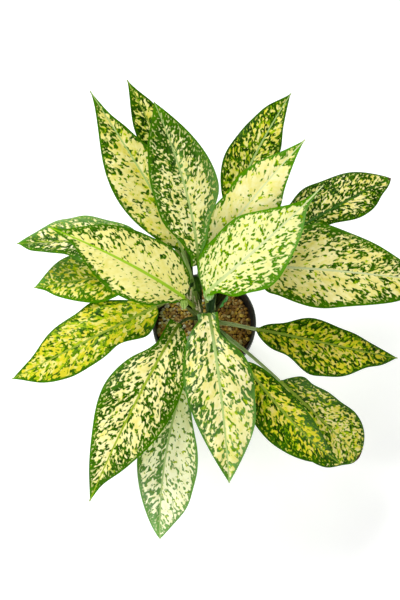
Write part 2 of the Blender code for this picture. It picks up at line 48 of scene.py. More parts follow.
# Sizes that part.py states, in metres
POT_HEIGHT = 0.115
RIM_RADIUS = 0.065
RIM_DEPTH = 0.0135
RIM_WIDTH = 0.003
WALL_TOP_RADIUS = 0.0628
BASE_RADIUS = 0.046
WALL = 0.0015
FLOOR = 0.002
DRAIN_HOLES = 6
DRAIN_RADIUS = 0.004
DRAIN_CIRCLE = 0.033
SOIL_LEVEL = 0.0965
CANE_RADIUS = 0.005
CANE_TOP = 0.162
CANE_INTERNODE = 0.009
CANES = {"left": (-0.0075, 0.0045), "right": (0.0075, 0.0060), "front": (0.0005, -0.0085)}
PETIOLE_FOOT_RADIUS = 0.0031
PETIOLE_TIP_RADIUS = 0.0019
PETIOLE_LEAN = 0.35
PETIOLE_CLIMB = 0.4
PETIOLE_LEAD = 0.3
KEEL = 0.0013
END_CROWDING = 0.6
LEFT = 0
RIGHT = 1
ROOT_HALF_WIDTH = 0.0026
TIP_HALF_WIDTH = 0.0007
BASE_CURVE = 2.0
TIP_CURVE = 1.8
FOLD_MIDDLE = 0.75
FOLD_ENDS = 0.9
EDGE_PHASE = 0.35
EDGE_FADE = 0.6
SEEDLING_FOOT = (0.0240, 0.0260)
SEEDLING_LEAF_LENGTH = 0.010
SEEDLING_LEAF_WIDTH = 0.0060
SEEDLING_LEAF_RISE = 0.45
SEEDLING_LEAVES = ((50, 0.0175), (225, 0.0140), (130, 0.0105))
SEEDLING_HEIGHT = 0.019

# Finer forms of the looks: metres and degrees, the veins' bend per metre, the jitter in spacings
RIB_WIDTH = 0.0020
RIB_HEIGHT = 0.0008
GROOVE_DEPTH = 0.0004
VEIN_SPACING = 0.0105
VEIN_BEND = 6.0
SWELL_HEIGHT = 0.00032
UNDER_SWELL = 0.00018
RUMPLE_HEIGHT = 0.00030
EDGE_DEPTH = 0.00028
INNER_DEPTH = 0.00070
PETIOLE_OVERLAP = 0.004
PETIOLE_DROP = 0.0011
SHEET = 0.0005
SHEATH_RADIUS = 0.0062
SHEATH_WRAP = 125
CANE_DEPTH = 0.008
CANE_STEP = 0.0006
CANE_CROWN = 0.0005
RING_HEIGHT = 0.0006
BASE_HOLLOW = 0.0006
BASE_RING = (0.0400, 0.0412)
MIX_GAP = 0.0004
FINES_DEPTH = 0.0016
FINES_ROUGHNESS = 0.0005
STONE_SHAPES = 24
STONE_PLANES = 13
STONE_JITTER = 0.26
STONE_RISE = 0.0007
SEEDLING_DEPTH = 0.004
SEEDLING_STEM_RADIUS = 0.0009
SEEDLING_STEM_TAPER = 0.0003
SEEDLING_SHEET = 0.0004
MILLIMETRES = 1000

# Fine meshes
BLADE_STEPS = 108
HALF_COLUMNS = 19
PETIOLE_RINGS = 40
PETIOLE_SIDES = 20
POT_SEGMENTS = 160

# The camera and the lights: name, place, diameter and power in watts
CAMERA_PLACE = (-0.00525, -0.33078, 1.10312)
CAMERA_TILT = 20
CAMERA_LENS = 50
CAMERA_SENSOR = 36
LIGHT_AIM = (0, 0, 0.15)
LIGHTS = (
    ("key", (-0.9, 1.2, 1.9), 1.0, 38),
    ("fill", (-0.8, -0.9, 1.7), 1.4, 8),
    ("sheen", (-0.5, -1.6, 0.9), 1.0, 9),
)
HORIZON_LIGHT = 1.10
ZENITH_LIGHT = 0.12
GROUND_REACH = 3
GROUND_WHITE = 0.85
GROUND_GLOW = 0.36


class Leaf(NamedTuple):
    """A leaf's shape, as part.py states it. Pairs are (left, right) or (nearer the root, nearer the tip)."""

    shoot: str
    node: float
    root: tuple
    tip: tuple
    rise: tuple
    sway: tuple
    widths: tuple
    peaks: tuple
    bases: tuple = (0.7, 0.7)
    drip: float = 1.2
    roll: float = 0
    fold: float = 14
    curl: float = 30
    wave: float = 0.002
    waves: float = 2.0
    phase: float = 0.0
    foot: tuple = (ROOT_HALF_WIDTH, ROOT_HALF_WIDTH)
    bulges: tuple = ()
    handles: tuple = (PETIOLE_CLIMB, PETIOLE_LEAD)


LEAVES = (
    Leaf("left", 0.140, (-0.010, 0.084, 0.215), (-0.088, 0.226, 0.302), (0.10, 0.08), (0, 0),
         (0.030, 0.025), (0.42, 0.42), fold=18,
         bulges=((0.60, LEFT, -0.15, 0.10), (0.82, RIGHT, 0.30, 0.10))),
    Leaf("left", 0.152, (-0.025, 0.047, 0.228), (-0.124, 0.189, 0.335), (0.10, 0.06), (0.02, 0),
         (0.038, 0.031), (0.42, 0.38), (0.9, 0.7), 1.35, fold=20, wave=0.0025, phase=0.2,
         foot=(0.004, 0.004),
         bulges=((0.60, LEFT, 0.10, 0.20), (0.68, RIGHT, -0.15, 0.10), (0.88, RIGHT, -0.50, 0.12))),
    Leaf("right", 0.156, (-0.007, 0.030, 0.228), (-0.052, 0.149, 0.375), (0.06, 0.04), (0.05, 0.045),
         (0.038, 0.038), (0.50, 0.46), (1.0, 2.0), 1.05, fold=18, wave=0.0025, phase=0.6,
         foot=(0.009, 0.003),
         bulges=((0.15, LEFT, -0.20, 0.12), (0.26, RIGHT, -0.30, 0.11), (0.50, LEFT, -0.07, 0.12),
                 (0.87, LEFT, 0.22, 0.12))),
    Leaf("right", 0.140, (0.030, 0.104, 0.205), (0.100, 0.223, 0.280), (0.10, 0.08), (-0.03, -0.02),
         (0.034, 0.024), (0.45, 0.42), (0.9, 0.7), fold=18, phase=0.4,
         bulges=((0.52, LEFT, -0.06, 0.12), (0.86, LEFT, 0.16, 0.10), (0.62, RIGHT, 0.18, 0.10))),
    Leaf("right", 0.148, (0.002, 0.042, 0.212), (0.108, 0.139, 0.318), (0.10, 0.08), (0, 0), (0.034, 0.031),
         (0.42, 0.40), (1.0, 0.7), 1.25, fold=18, wave=0.0025, phase=0.1, foot=(0.004, 0.004),
         bulges=((0.13, LEFT, -0.18, 0.06), (0.44, LEFT, -0.15, 0.10), (0.75, LEFT, 0.08, 0.10),
                 (0.60, RIGHT, 0.18, 0.08))),
    Leaf("right", 0.154, (0.0015, -0.005, 0.230), (0.126, 0.088, 0.310), (0.12, 0.10), (0.04, 0.055),
         (0.042, 0.042), (0.32, 0.37), (0.5, 0.7), 1.6, wave=0.003, phase=0.7, foot=(0.006, 0.005),
         bulges=((0.06, LEFT, 0.30, 0.08), (0.18, LEFT, 0.07, 0.06), (0.51, LEFT, 0.20, 0.15),
                 (0.88, LEFT, -0.45, 0.12), (0.07, RIGHT, -0.55, 0.07), (0.22, RIGHT, -0.18, 0.10),
                 (0.88, RIGHT, -0.55, 0.10)), handles=(0.45, 0.10)),
    Leaf("right", 0.136, (0.086, 0.083, 0.170), (0.226, 0.153, 0.205), (0.12, 0.12), (0.02, 0.02),
         (0.040, 0.028), (0.55, 0.62), (0.5, 1.8), 0.85, fold=10, wave=0.0025, waves=2.5, phase=0.3,
         bulges=((0.36, LEFT, 0.12, 0.15), (0.43, RIGHT, -0.35, 0.14), (0.88, RIGHT, -0.15, 0.06))),
    Leaf("right", 0.130, (0.062, 0.038, 0.203), (0.279, 0.021, 0.197), (0.12, 0.12), (0.02, 0.045),
         (0.057, 0.047), (0.36, 0.37), (0.6, 0.5), 1.3, fold=10, curl=25, wave=0.003, waves=2.5, phase=0.5,
         bulges=((0.27, LEFT, 0.07, 0.10), (0.78, LEFT, -0.20, 0.15), (0.05, RIGHT, 0.20, 0.05),
                 (0.45, RIGHT, -0.07, 0.12), (0.80, RIGHT, 0.15, 0.12))),
    Leaf("front", 0.132, (0.061, -0.026, 0.165), (0.233, -0.053, 0.135), (0.12, 0.12), (0.03, 0.05),
         (0.028, 0.038), (0.36, 0.50), (0.9, 0.7), roll=10, fold=12, wave=0.0025, waves=2.5, phase=0.8,
         bulges=((0.15, LEFT, -0.35, 0.12), (0.55, LEFT, -0.10, 0.10), (0.22, RIGHT, -0.20, 0.09),
                 (0.40, RIGHT, 0.10, 0.08), (0.78, RIGHT, -0.22, 0.09))),
    Leaf("front", 0.122, (0.088, -0.088, 0.160), (0.184, -0.168, 0.110), (0.14, 0.14), (0.03, 0.03),
         (0.040, 0.044), (0.70, 0.60), (0.7, 0.9), 0.5, fold=6, wave=0.003, phase=0.35,
         bulges=((0.08, LEFT, 0.50, 0.09), (0.50, LEFT, -0.10, 0.14), (0.93, RIGHT, -0.25, 0.10))),
    Leaf("front", 0.138, (0.044, -0.071, 0.185), (0.156, -0.181, 0.142), (0.12, 0.12), (0.08, 0.09),
         (0.026, 0.036), (0.45, 0.50), fold=12, phase=0.15,
         bulges=((0.40, LEFT, -0.16, 0.30), (0.60, RIGHT, -0.06, 0.15))),
    Leaf("front", 0.154, (0.005, -0.025, 0.218), (0.026, -0.210, 0.200), (0.14, 0.14), (-0.01, -0.01),
         (0.040, 0.039), (0.52, 0.40), (2.0, 0.7), 1.05, wave=0.003, waves=2.5, phase=0.55,
         foot=(0.010, 0.014),
         bulges=((0.10, LEFT, -0.20, 0.05), (0.27, LEFT, 0.17, 0.12), (0.55, LEFT, -0.07, 0.10)),
         handles=(0.40, 0.15)),
    Leaf("front", 0.126, (-0.017, -0.073, 0.168), (-0.050, -0.263, 0.135), (0.12, 0.12), (0.06, 0.06),
         (0.038, 0.034), (0.60, 0.50), (1.6, 0.7), 0.9, fold=12, wave=0.0035, waves=2.5, phase=0.25,
         bulges=((0.30, LEFT, -0.10, 0.12), (0.84, LEFT, 0.13, 0.10), (0.70, RIGHT, -0.05, 0.20))),
    Leaf("front", 0.146, (-0.029, -0.031, 0.200), (-0.125, -0.227, 0.180), (0.14, 0.14), (0, 0),
         (0.042, 0.041), (0.42, 0.46), (0.7, 1.6), wave=0.003, waves=2.5, phase=0.65, foot=(0.004, 0.012),
         bulges=((0.63, LEFT, 0.06, 0.10), (0.93, LEFT, -0.40, 0.08), (0.17, RIGHT, -0.28, 0.07))),
    Leaf("left", 0.134, (-0.057, 0.001, 0.168), (-0.227, -0.083, 0.150), (0.12, 0.12), (-0.03, -0.04),
         (0.030, 0.038), (0.62, 0.48), (0.4, 0.7), wave=0.003, phase=0.45,
         bulges=((0.12, LEFT, 0.35, 0.08), (0.31, LEFT, -0.18, 0.08), (0.84, LEFT, 0.14, 0.10),
                 (0.33, RIGHT, 0.17, 0.10), (0.84, RIGHT, -0.25, 0.12)), handles=(1.40, 0.50)),
    Leaf("left", 0.126, (-0.077, 0.037, 0.181), (-0.204, 0.024, 0.171), (0.12, 0.12), (-0.02, -0.02),
         (0.030, 0.040), (0.42, 0.45), fold=12, phase=0.05,
         bulges=((0.90, LEFT, -0.20, 0.06), (0.80, RIGHT, 0.26, 0.16))),
    Leaf("left", 0.154, (-0.023, -0.009, 0.226), (-0.169, 0.051, 0.285), (0.14, 0.10), (0, 0),
         (0.037, 0.042), (0.38, 0.40), (0.7, 0.35), 1.35, fold=20, curl=40, wave=0.0025, phase=0.75,
         foot=(0.004, 0.004),
         bulges=((0.10, LEFT, -0.20, 0.06), (0.86, LEFT, -0.40, 0.12), (0.24, RIGHT, 0.10, 0.12),
                 (0.72, RIGHT, 0.10, 0.10), (0.93, RIGHT, -0.35, 0.06))),
    Leaf("left", 0.130, (-0.070, 0.070, 0.195), (-0.223, 0.071, 0.195), (0.12, 0.12), (-0.02, -0.03),
         (0.036, 0.044), (0.42, 0.45), roll=25, fold=22, wave=0.003, phase=0.9,
         bulges=((0.57, LEFT, -0.22, 0.10), (0.90, LEFT, 0.40, 0.10), (0.76, RIGHT, 0.36, 0.12))),
)


class Look(NamedTuple):
    """A leaf's markings. Pairs are (left, right), seen from the root towards the tip.

    cover is the share of dark green away from margin and tip, lime the share of lime in the rest and yellow
    the ground's hue, between cream and yellow. Margins are in millimetres, and tip and dry_tip are shares of
    the length. rib and foot are the midrib's colour and its colour at the base, rib_width its half-width in
    millimetres, and border the green along it. Spots are (t, across, reach in t, reach across, greener), and
    sheen is like spots, where a painted sheen, reflected light painted into the colour, pales the leaf.
    green lightens the blots, and gloss is the reflection.
    """

    cover: tuple
    lime: float
    yellow: float
    margins: tuple
    tip: float
    rib: str
    spots: tuple = ()
    green: float = 0.5
    rib_width: float = 2.0
    foot: str = ""
    cream: str = "f3efa6"
    gloss: float = 0.03
    dry_tip: float = 0.0
    border: float = 0.0
    sheen: tuple = ()


LOOKS = (
    Look((0.70, 0.62), 0.22, 0.60, (4, 4), 0.12, "green"),
    Look((0.10, 0.15), 0.14, 0.50, (5, 6), 0.12, "pale",
         ((0.78, -0.5, 0.14, 0.5, 1.6), (0.6, 0.5, 0.2, 0.5, -0.9)), green=0.8, cream="f6efae"),
    Look((0.58, 0.34), 0.12, 0.35, (6, 14), 0.10, "pale",
         ((0.33, -0.3, 0.10, 0.3, -1.2), (0.42, 0.35, 0.16, 0.35, -1.0), (0.88, 0, 0.20, 1.2, 1.5),
          (0.0, -0.2, 0.07, 1.2, 3.0)), green=0.9, foot="olive", cream="f6f4b8",
         sheen=((0.33, 0.95, 0.28, 0.35, 0.30), (0.62, 0.08, 0.14, 0.14, 0.35))),
    Look((0.50, 0.50), 0.45, 0.65, (4, 4), 0.10, "pale", border=0.8),
    Look((0.015, 0.015), 0.07, 0.30, (7, 7), 0.14, "cream",
         ((0.66, -0.5, 0.14, 0.5, 1.0), (0.38, 0.05, 0.32, 0.6, -1.4), (0.85, 0, 0.15, 0.8, 0.8)),
         green=1.2, cream="e6e2ac"),
    Look((0.11, 0.27), 0.16, 0.10, (6, 5), 0.16, "cream", ((0.03, -0.6, 0.04, 0.6, 1.0),), green=1.4,
         rib_width=2.4, foot="pale", cream="e2e4a0", sheen=((0.80, 0.9, 0.22, 0.3, 0.28),)),
    Look((0.58, 0.60), 0.20, 0.50, (5, 5), 0.08, "dark",
         ((0.2, 0, 0.36, 0.2, 2.0), (0.1, 0.3, 0.3, 0.6, 0.9)), cream="f6eec0", dry_tip=0.025, border=2.0),
    Look((0.50, 0.18), 0.12, 0.40, (10, 9), 0.10, "cream",
         ((0.25, -0.35, 0.14, 0.3, -1.2), (0.10, -0.8, 0.1, 0.3, 2.5)), green=0.8, cream="f4ecb0"),
    Look((0.28, 0.28), 0.45, 0.85, (5, 5), 0.10, "green",
         ((0.06, 0, 0.08, 1.0, 1.2), (0.88, 0, 0.2, 1.0, 0.7)), cream="eedc90", border=1.2),
    Look((0.30, 0.24), 0.40, 0.60, (5, 6), 0.06, "green",
         ((0.12, -0.5, 0.14, 0.7, 1.2), (0.7, 0, 0.2, 0.8, -0.5)), cream="f2e8b0", dry_tip=0.03, border=1.2,
         sheen=((0.2, -0.7, 0.3, 0.5, 0.15),)),
    Look((0.54, 0.48), 0.40, 0.90, (6, 11), 0.06, "green", ((0.3, 0.3, 0.2, 0.3, -0.8),), cream="eedc90",
         border=0.8, sheen=((0.72, -0.4, 0.22, 0.5, 0.20),)),
    Look((0.16, 0.29), 0.18, 0.32, (5, 5), 0.08, "pale",
         ((0.0, 0, 0.018, 3.0, 3.0), (0.07, -0.95, 0.12, 0.30, 3.5), (0.78, -0.5, 0.2, 0.5, -0.8)),
         green=1.0, rib_width=2.3, foot="olive", cream="f2ebb4", gloss=0.2,
         sheen=((0.80, -0.45, 0.32, 0.9, 0.38),)),
    Look((0.06, 0.26), 0.12, 0.12, (5, 6), 0.10, "pale",
         ((0.5, 0.14, 0.5, 0.12, 1.8), (0.93, 0.1, 0.14, 1.0, 1.4)), green=1.2, cream="ffffd2", gloss=0.4,
         sheen=((0.7, -0.6, 0.5, 0.9, 0.26), (0.95, 0.5, 0.3, 0.8, 0.20))),
    Look((0.44, 0.44), 0.06, 0.30, (9, 9), 0.08, "moss", green=0.8, rib_width=2.2, foot="olive",
         cream="f4ecb0"),
    Look((0.12, 0.12), 0.46, 0.90, (5, 5), 0.06, "green", green=0.9, border=0.9,
         sheen=((0.06, 0.5, 0.12, 1.0, 0.18),)),
    Look((0.34, 0.34), 0.54, 0.66, (5, 5), 0.08, "green", ((0.85, 0, 0.22, 1.0, 0.9),), green=1.2,
         border=0.9, sheen=((0.8, 0.7, 0.4, 0.6, 0.22),)),
    Look((0.06, 0.10), 0.06, 0.25, (7, 8), 0.14, "lime",
         ((0.75, 0.4, 0.2, 0.6, 1.3), (0.35, -0.3, 0.25, 0.8, -0.4)), green=0.9, rib_width=2.6,
         cream="f0ea9c"),
    Look((0.70, 0.66), 0.25, 0.40, (7, 8), 0.10, "green", green=0.9, cream="faf4cc",
         sheen=((0.6, 0.95, 0.5, 0.5, 0.32),)),
)


# Blade shapes, by part.py's formulas


def unit(vectors):
    return vectors / np.linalg.norm(vectors, axis=-1, keepdims=True)


def bezier(controls, t):
    t = np.asarray(t)[:, None]
    start, first, second, end = controls
    return (1 - t) ** 3 * start + 3 * (1 - t) ** 2 * t * first + 3 * (1 - t) * t**2 * second + t**3 * end


def bezier_direction(controls, t):
    t = np.asarray(t)[:, None]
    start, first, second, end = controls
    slope = (1 - t) ** 2 * (first - start) + 2 * (1 - t) * t * (second - first) + t**2 * (end - second)
    return unit(slope)


def midrib(leaf):
    root = np.array(leaf.root)
    tip = np.array(leaf.tip)
    length = np.linalg.norm(tip - root)
    along = (tip - root) / length
    lift = unit(UP - (UP @ along) * along)
    right = np.cross(along, lift)
    bends = [(lift * rise + right * sway) * length for rise, sway in zip(leaf.rise, leaf.sway)]
    return root, root + (tip - root) / 3 + bends[0], root + (tip - root) * 2 / 3 + bends[1], tip


def outline(t, peak, base_power, drip):
    base = 1 - (np.clip(peak - t, 0, 1) / peak) ** BASE_CURVE
    tip = 1 - (np.clip(t - peak, 0, 1) / (1 - peak)) ** TIP_CURVE
    return np.where(t < peak, base**base_power, tip**drip)


def half_width(leaf, half, t):
    """The width in metres of a blade's left or right half, at the fractions t of its length."""
    width = leaf.widths[half] * outline(t, leaf.peaks[half], leaf.bases[half], leaf.drip)
    for at, side, share, reach in leaf.bulges:
        if side == half:
            width = width * (1 + share * np.exp(-(((t - at) / reach) ** 2)))
    return np.maximum(width, leaf.foot[half] + (TIP_HALF_WIDTH - leaf.foot[half]) * t)


def blade_stations(steps):
    even = np.linspace(0, 1, steps + 1)
    return (1 - END_CROWDING) * even + END_CROWDING * (1 - np.cos(math.pi * even)) / 2


def blade_frame(leaf, t):
    controls = midrib(leaf)
    along = bezier_direction(controls, t)
    level_up = unit(UP - (along @ UP)[:, None] * along)
    level_right = np.cross(along, level_up)
    roll = math.radians(leaf.roll)
    up = level_up * math.cos(roll) + level_right * math.sin(roll)
    right = level_right * math.cos(roll) - level_up * math.sin(roll)
    return bezier(controls, t), right, up


def smooth_step(low, high, values):
    share = np.clip((values - low) / (high - low), 0, 1)
    return share * share * (3 - 2 * share)


class Blade:
    """The grids of one blade: its upper and lower faces and the values that its markings follow."""

    def __init__(self, leaf, look, number):
        t = blade_stations(BLADE_STEPS)
        # The columns crowd towards the midrib
        steps = np.linspace(-1, 1, 2 * HALF_COLUMNS + 1)
        size = np.abs(steps)
        across = np.sign(steps) * (0.25 * size + 0.95 * size**1.6 - 0.20 * size**3)
        across /= across[-1]
        centre, right, up = blade_frame(leaf, t)
        length = np.concatenate([[0], np.cumsum(np.linalg.norm(np.diff(centre, axis=0), axis=1))])
        fold = math.radians(leaf.fold) * (FOLD_MIDDLE + FOLD_ENDS * (1 - 2 * t) ** 2)
        curl = math.radians(leaf.curl)
        shape = (len(t), len(across))
        surface = np.zeros((*shape, 3))
        distance = np.zeros(shape)
        widths = np.zeros(shape)
        for column, share in enumerate(across):
            half = RIGHT if share > 0 else LEFT
            reach = abs(share)
            width = half_width(leaf, half, t)
            outwards = width * (np.sin(fold) - np.sin(fold - curl * reach)) / curl
            height = width * (np.cos(fold - curl * reach) - np.cos(fold)) / curl
            turn = 2 * math.pi * (leaf.waves * t + leaf.phase + EDGE_PHASE * half)
            height = height + leaf.wave * reach**2 * np.sin(turn) * np.sin(math.pi * t) ** EDGE_FADE
            surface[:, column] = centre + right * (outwards * np.sign(share))[:, None] + up * height[:, None]
            distance[:, column] = width * share
            widths[:, column] = width
        self.t = np.repeat(t[:, None], len(across), axis=1)
        self.across = np.repeat(across[None, :], len(t), axis=0)
        self.along = np.repeat(length[:, None], len(across), axis=1)
        self.distance = distance
        self.edge = widths - np.abs(distance)
        off = np.abs(distance)
        self.vein = self.along - off - VEIN_BEND * off**2
        # Relief: a rib that sinks towards the tip, and shallow swellings between the side veins
        rib_width = RIB_WIDTH * (1 - 0.7 * self.t)
        rib = RIB_HEIGHT * (1 - self.t) ** 1.3 * np.exp(-((distance / rib_width) ** 2))
        rib -= GROOVE_DEPTH * (1 - 0.5 * self.t) * np.exp(-(((off - 2.1 * rib_width) / rib_width) ** 2))
        inside = smooth_step(0.0, 0.006, self.edge) * smooth_step(0.002, 0.008, off)
        swell = np.abs(np.sin(math.pi * self.vein / VEIN_SPACING + number)) ** 0.7 - 0.62
        rumple = np.sin(self.along * 95 + number * 1.7 + distance * 60) * np.cos(distance * 130 + number)
        lift = rib + inside * (SWELL_HEIGHT * swell + RUMPLE_HEIGHT * rumple)
        normal = unit(np.cross(np.gradient(surface, axis=1), np.gradient(surface, axis=0)))
        normal *= np.sign(np.sum(normal * up[:, None, :], axis=-1))[..., None]
        self.top = surface + normal * lift[..., None]
        depth = EDGE_DEPTH + (INNER_DEPTH - EDGE_DEPTH) * smooth_step(0, 0.006, self.edge)
        keel = KEEL * 1.1 * (1 - self.t) ** 0.8 * np.exp(-((distance / (rib_width * 1.3)) ** 2))
        self.bottom = surface - normal * (depth + keel - inside * UNDER_SWELL * swell)[..., None]
        self.spots = self.hills(look.spots)
        # Where the painted sheen, reflected light put into the colour, pales the blade
        self.sheen = self.hills(look.sheen)

    def hills(self, rows):
        """Smooth hills on the blade, each of (t, across, reach in t, reach across, height)."""
        total = np.zeros(self.t.shape)
        for at, side, reach_t, reach_across, amount in rows:
            fall = ((self.t - at) / reach_t) ** 2 + ((self.across - side) / reach_across) ** 2
            total += amount * np.exp(-fall)
        return total


def sheet_faces(rows, columns, flip=False):
    """Faces of a thin sheet: a grid, the same grid behind it and the strip around both."""
    under = rows * columns
    starts = [row * columns + column for row in range(rows - 1) for column in range(columns - 1)]
    faces = [(a, a + 1, a + columns + 1, a + columns) for a in starts]
    faces += [tuple(under + corner for corner in reversed(face)) for face in faces]
    edge = [row * columns for row in reversed(range(rows))] + list(range(1, columns - 1))
    edge += [row * columns + columns - 1 for row in range(rows)]
    edge += [(rows - 1) * columns + column for column in range(columns - 2, 0, -1)]
    faces += [(b, a, under + a, under + b) for a, b in zip(edge, edge[1:] + edge[:1])]
    return [face[::-1] for face in faces] if flip else faces


def new_object(name, vertices, faces, materials, sharp_angle=50):
    mesh = bpy.data.meshes.new(name)
    mesh.from_pydata([tuple(map(float, v)) for v in vertices], [], faces)
    mesh.validate()
    obj = bpy.data.objects.new(name, mesh)
    bpy.context.scene.collection.objects.link(obj)
    for material in materials:
        mesh.materials.append(material)
    mesh.shade_smooth()
    mesh.set_sharp_from_angle(angle=math.radians(sharp_angle))
    return obj


def put(obj, name, values):
    """Gives each vertex of a mesh a number or a vector."""
    values = np.asarray(values, np.float32)
    is_vector = values.size == 3 * len(obj.data.vertices)
    attribute = obj.data.attributes.new(name, "FLOAT_VECTOR" if is_vector else "FLOAT", "POINT")
    attribute.data.foreach_set("vector" if is_vector else "value", values.ravel())


def make_blade(number, leaf, look, material):
    blade = Blade(leaf, look, number)
    rows, columns = blade.t.shape
    vertices = np.concatenate([blade.top.reshape(-1, 3), blade.bottom.reshape(-1, 3)])
    obj = new_object(f"leaf_{number:02d}", vertices, sheet_faces(rows, columns), [material], 60)
    marks = {
        "veins": np.stack([blade.vein, blade.distance, blade.along], axis=-1) * MILLIMETRES,
        "place": np.stack([blade.t, blade.across, blade.edge * MILLIMETRES], axis=-1),
        "spots": blade.spots,
        "sheen": blade.sheen,
    }
    for name, values in marks.items():
        put(obj, name, [values, values])
    put(obj, "under", np.repeat((0, 1), rows * columns))
    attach(obj, "root")
    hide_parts(f"leaf_blade_{number:02d}")


# Materials


def colour(code):
    """Linear colour from a hexadecimal one."""
    parts = [int(code[i : i + 2], 16) / 255 for i in (0, 2, 4)]
    linear = [c / 12.92 if c <= 0.04045 else ((c + 0.055) / 1.055) ** 2.4 for c in parts]
    return (*linear, 1)


class Value:
    """A number in a material: Python's operators on it add Math nodes."""

    def __init__(self, tree, socket):
        self.tree = tree
        self.socket = socket

    def __add__(self, other):
        return self.tree.math("ADD", self, other)

    def __sub__(self, other):
        return self.tree.math("SUBTRACT", self, other)

    def __rsub__(self, other):
        return self.tree.math("SUBTRACT", other, self)

    def __mul__(self, other):
        return self.tree.math("MULTIPLY", self, other)

    def __truediv__(self, other):
        return self.tree.math("DIVIDE", self, other)

    def __pow__(self, other):
        return self.tree.math("POWER", self, other)

    def __abs__(self):
        return self.tree.math("ABSOLUTE", self)


class Tree:
    """A short way to write a material's nodes."""

    def __init__(self, name, roughness):
        self.material = bpy.data.materials.new(name)
        self.material.use_nodes = True
        self.tree = self.material.node_tree
        self.shader = self.tree.nodes["Principled BSDF"]
        self.shader.inputs["Roughness"].default_value = roughness

    def add(self, kind, inputs=(), **properties):
        node = self.tree.nodes.new(kind)
        for key, value in properties.items():
            setattr(node, key, value)
        for key, value in dict(inputs).items():
            self.set(node.inputs[key], value)
        return node

    def set(self, socket, value):
        if isinstance(value, Value):
            value = value.socket
        if isinstance(value, bpy.types.NodeSocket):
            self.tree.links.new(value, socket)
        else:
            socket.default_value = value

    def math(self, operation, first, second=0.0, clamp=False):
        node = self.add("ShaderNodeMath", {0: first, 1: second}, operation=operation, use_clamp=clamp)
        return Value(self, node.outputs[0])

    def clamp(self, value):
        return self.math("ADD", value, clamp=True)

    def step(self, low, high, value):
        """0 below low, 1 above high, smooth between."""
        inputs = {"Value": value, "From Min": low, "From Max": high}
        node = self.add("ShaderNodeMapRange", inputs, interpolation_type="SMOOTHSTEP")
        return Value(self, node.outputs["Result"])

    def mix(self, factor, first, second, blend="MIX"):
        node = self.add("ShaderNodeMix", data_type="RGBA", blend_type=blend)
        self.set(node.inputs["Factor"], factor)
        self.set(node.inputs[6], first)
        self.set(node.inputs[7], second)
        return node.outputs[2]

    def point(self):
        """The place in the object's own frame, in metres."""
        return self.add("ShaderNodeTexCoord").outputs["Object"]

    def attribute(self, name, output="Fac"):
        return Value(self, self.add("ShaderNodeAttribute", attribute_name=name).outputs[output])

    def split(self, vector):
        return [Value(self, socket) for socket in self.add("ShaderNodeSeparateXYZ", {0: vector}).outputs]

    def join(self, x, y, z):
        return self.add("ShaderNodeCombineXYZ", {0: x, 1: y, 2: z}).outputs[0]

    def noise(self, vector, scale=1.0, detail=2.0, roughness=0.5, output="Fac"):
        inputs = {"Vector": vector, "Scale": scale, "Detail": detail, "Roughness": roughness}
        return Value(self, self.add("ShaderNodeTexNoise", inputs).outputs[output])

    def warped(self, x, y, seed, scale, reach):
        """Coordinates in a plane, bent by noise."""
        shift = self.split(self.noise(self.join(x, y, seed), scale, 1.0, output="Color"))
        return x + (shift[0] - 0.5) * (2 * reach), y + (shift[1] - 0.5) * (2 * reach)

    def plane_noise(self, x, y, width, length, layer, detail):
        """Noise in a plane whose blots have this width and length."""
        return self.noise(self.join(x / width, y / length, layer), 1.0, detail)

    def ramp(self, factor, stops):
        node = self.add("ShaderNodeValToRGB", {"Fac": factor})
        elements = node.color_ramp.elements
        while len(elements) < len(stops):
            elements.new(0.5)
        for element, (place, code) in zip(elements, stops):
            element.position = place
            element.color = colour(code)
        return node.outputs["Color"]

    def finish(self, base, height, distance, strength):
        """Joins the colour and the bump to the shader."""
        bump = self.add("ShaderNodeBump", {"Height": height, "Distance": distance, "Strength": strength})
        self.set(self.shader.inputs["Base Color"], base)
        self.set(self.shader.inputs["Normal"], bump.outputs["Normal"])
        return self.material


# Leaf colours, and the angle in degrees at which the blots lean from the midrib
BLOT_LEAN = 27
STRING_DEPTH = 0.8
YELLOW = colour("d8cc2c")
LIME_LIGHT = colour("a8c010")
LIME_DARK = colour("5c8404")
DARK_GREEN = colour("143200")
LEAF_GREEN = colour("386800")
BRIGHT_GREEN = colour("569600")
VEIN = colour("a8c46a")
DRY_BROWN = colour("4e4420")
UNDER_GREEN = colour("8fae62")
# Painted sheen: the pale teal of reflected light, put into the leaves' colour
PAINTED_SHEEN = colour("9ad074")
RIBS = {
    "cream": colour("cad29a"),
    "moss": colour("8ea61e"),
    "pale": colour("a6c070"),
    "lime": colour("94c41a"),
    "olive": colour("56780c"),
    "green": colour("8ba238"),
    "dark": colour("34601c"),
}


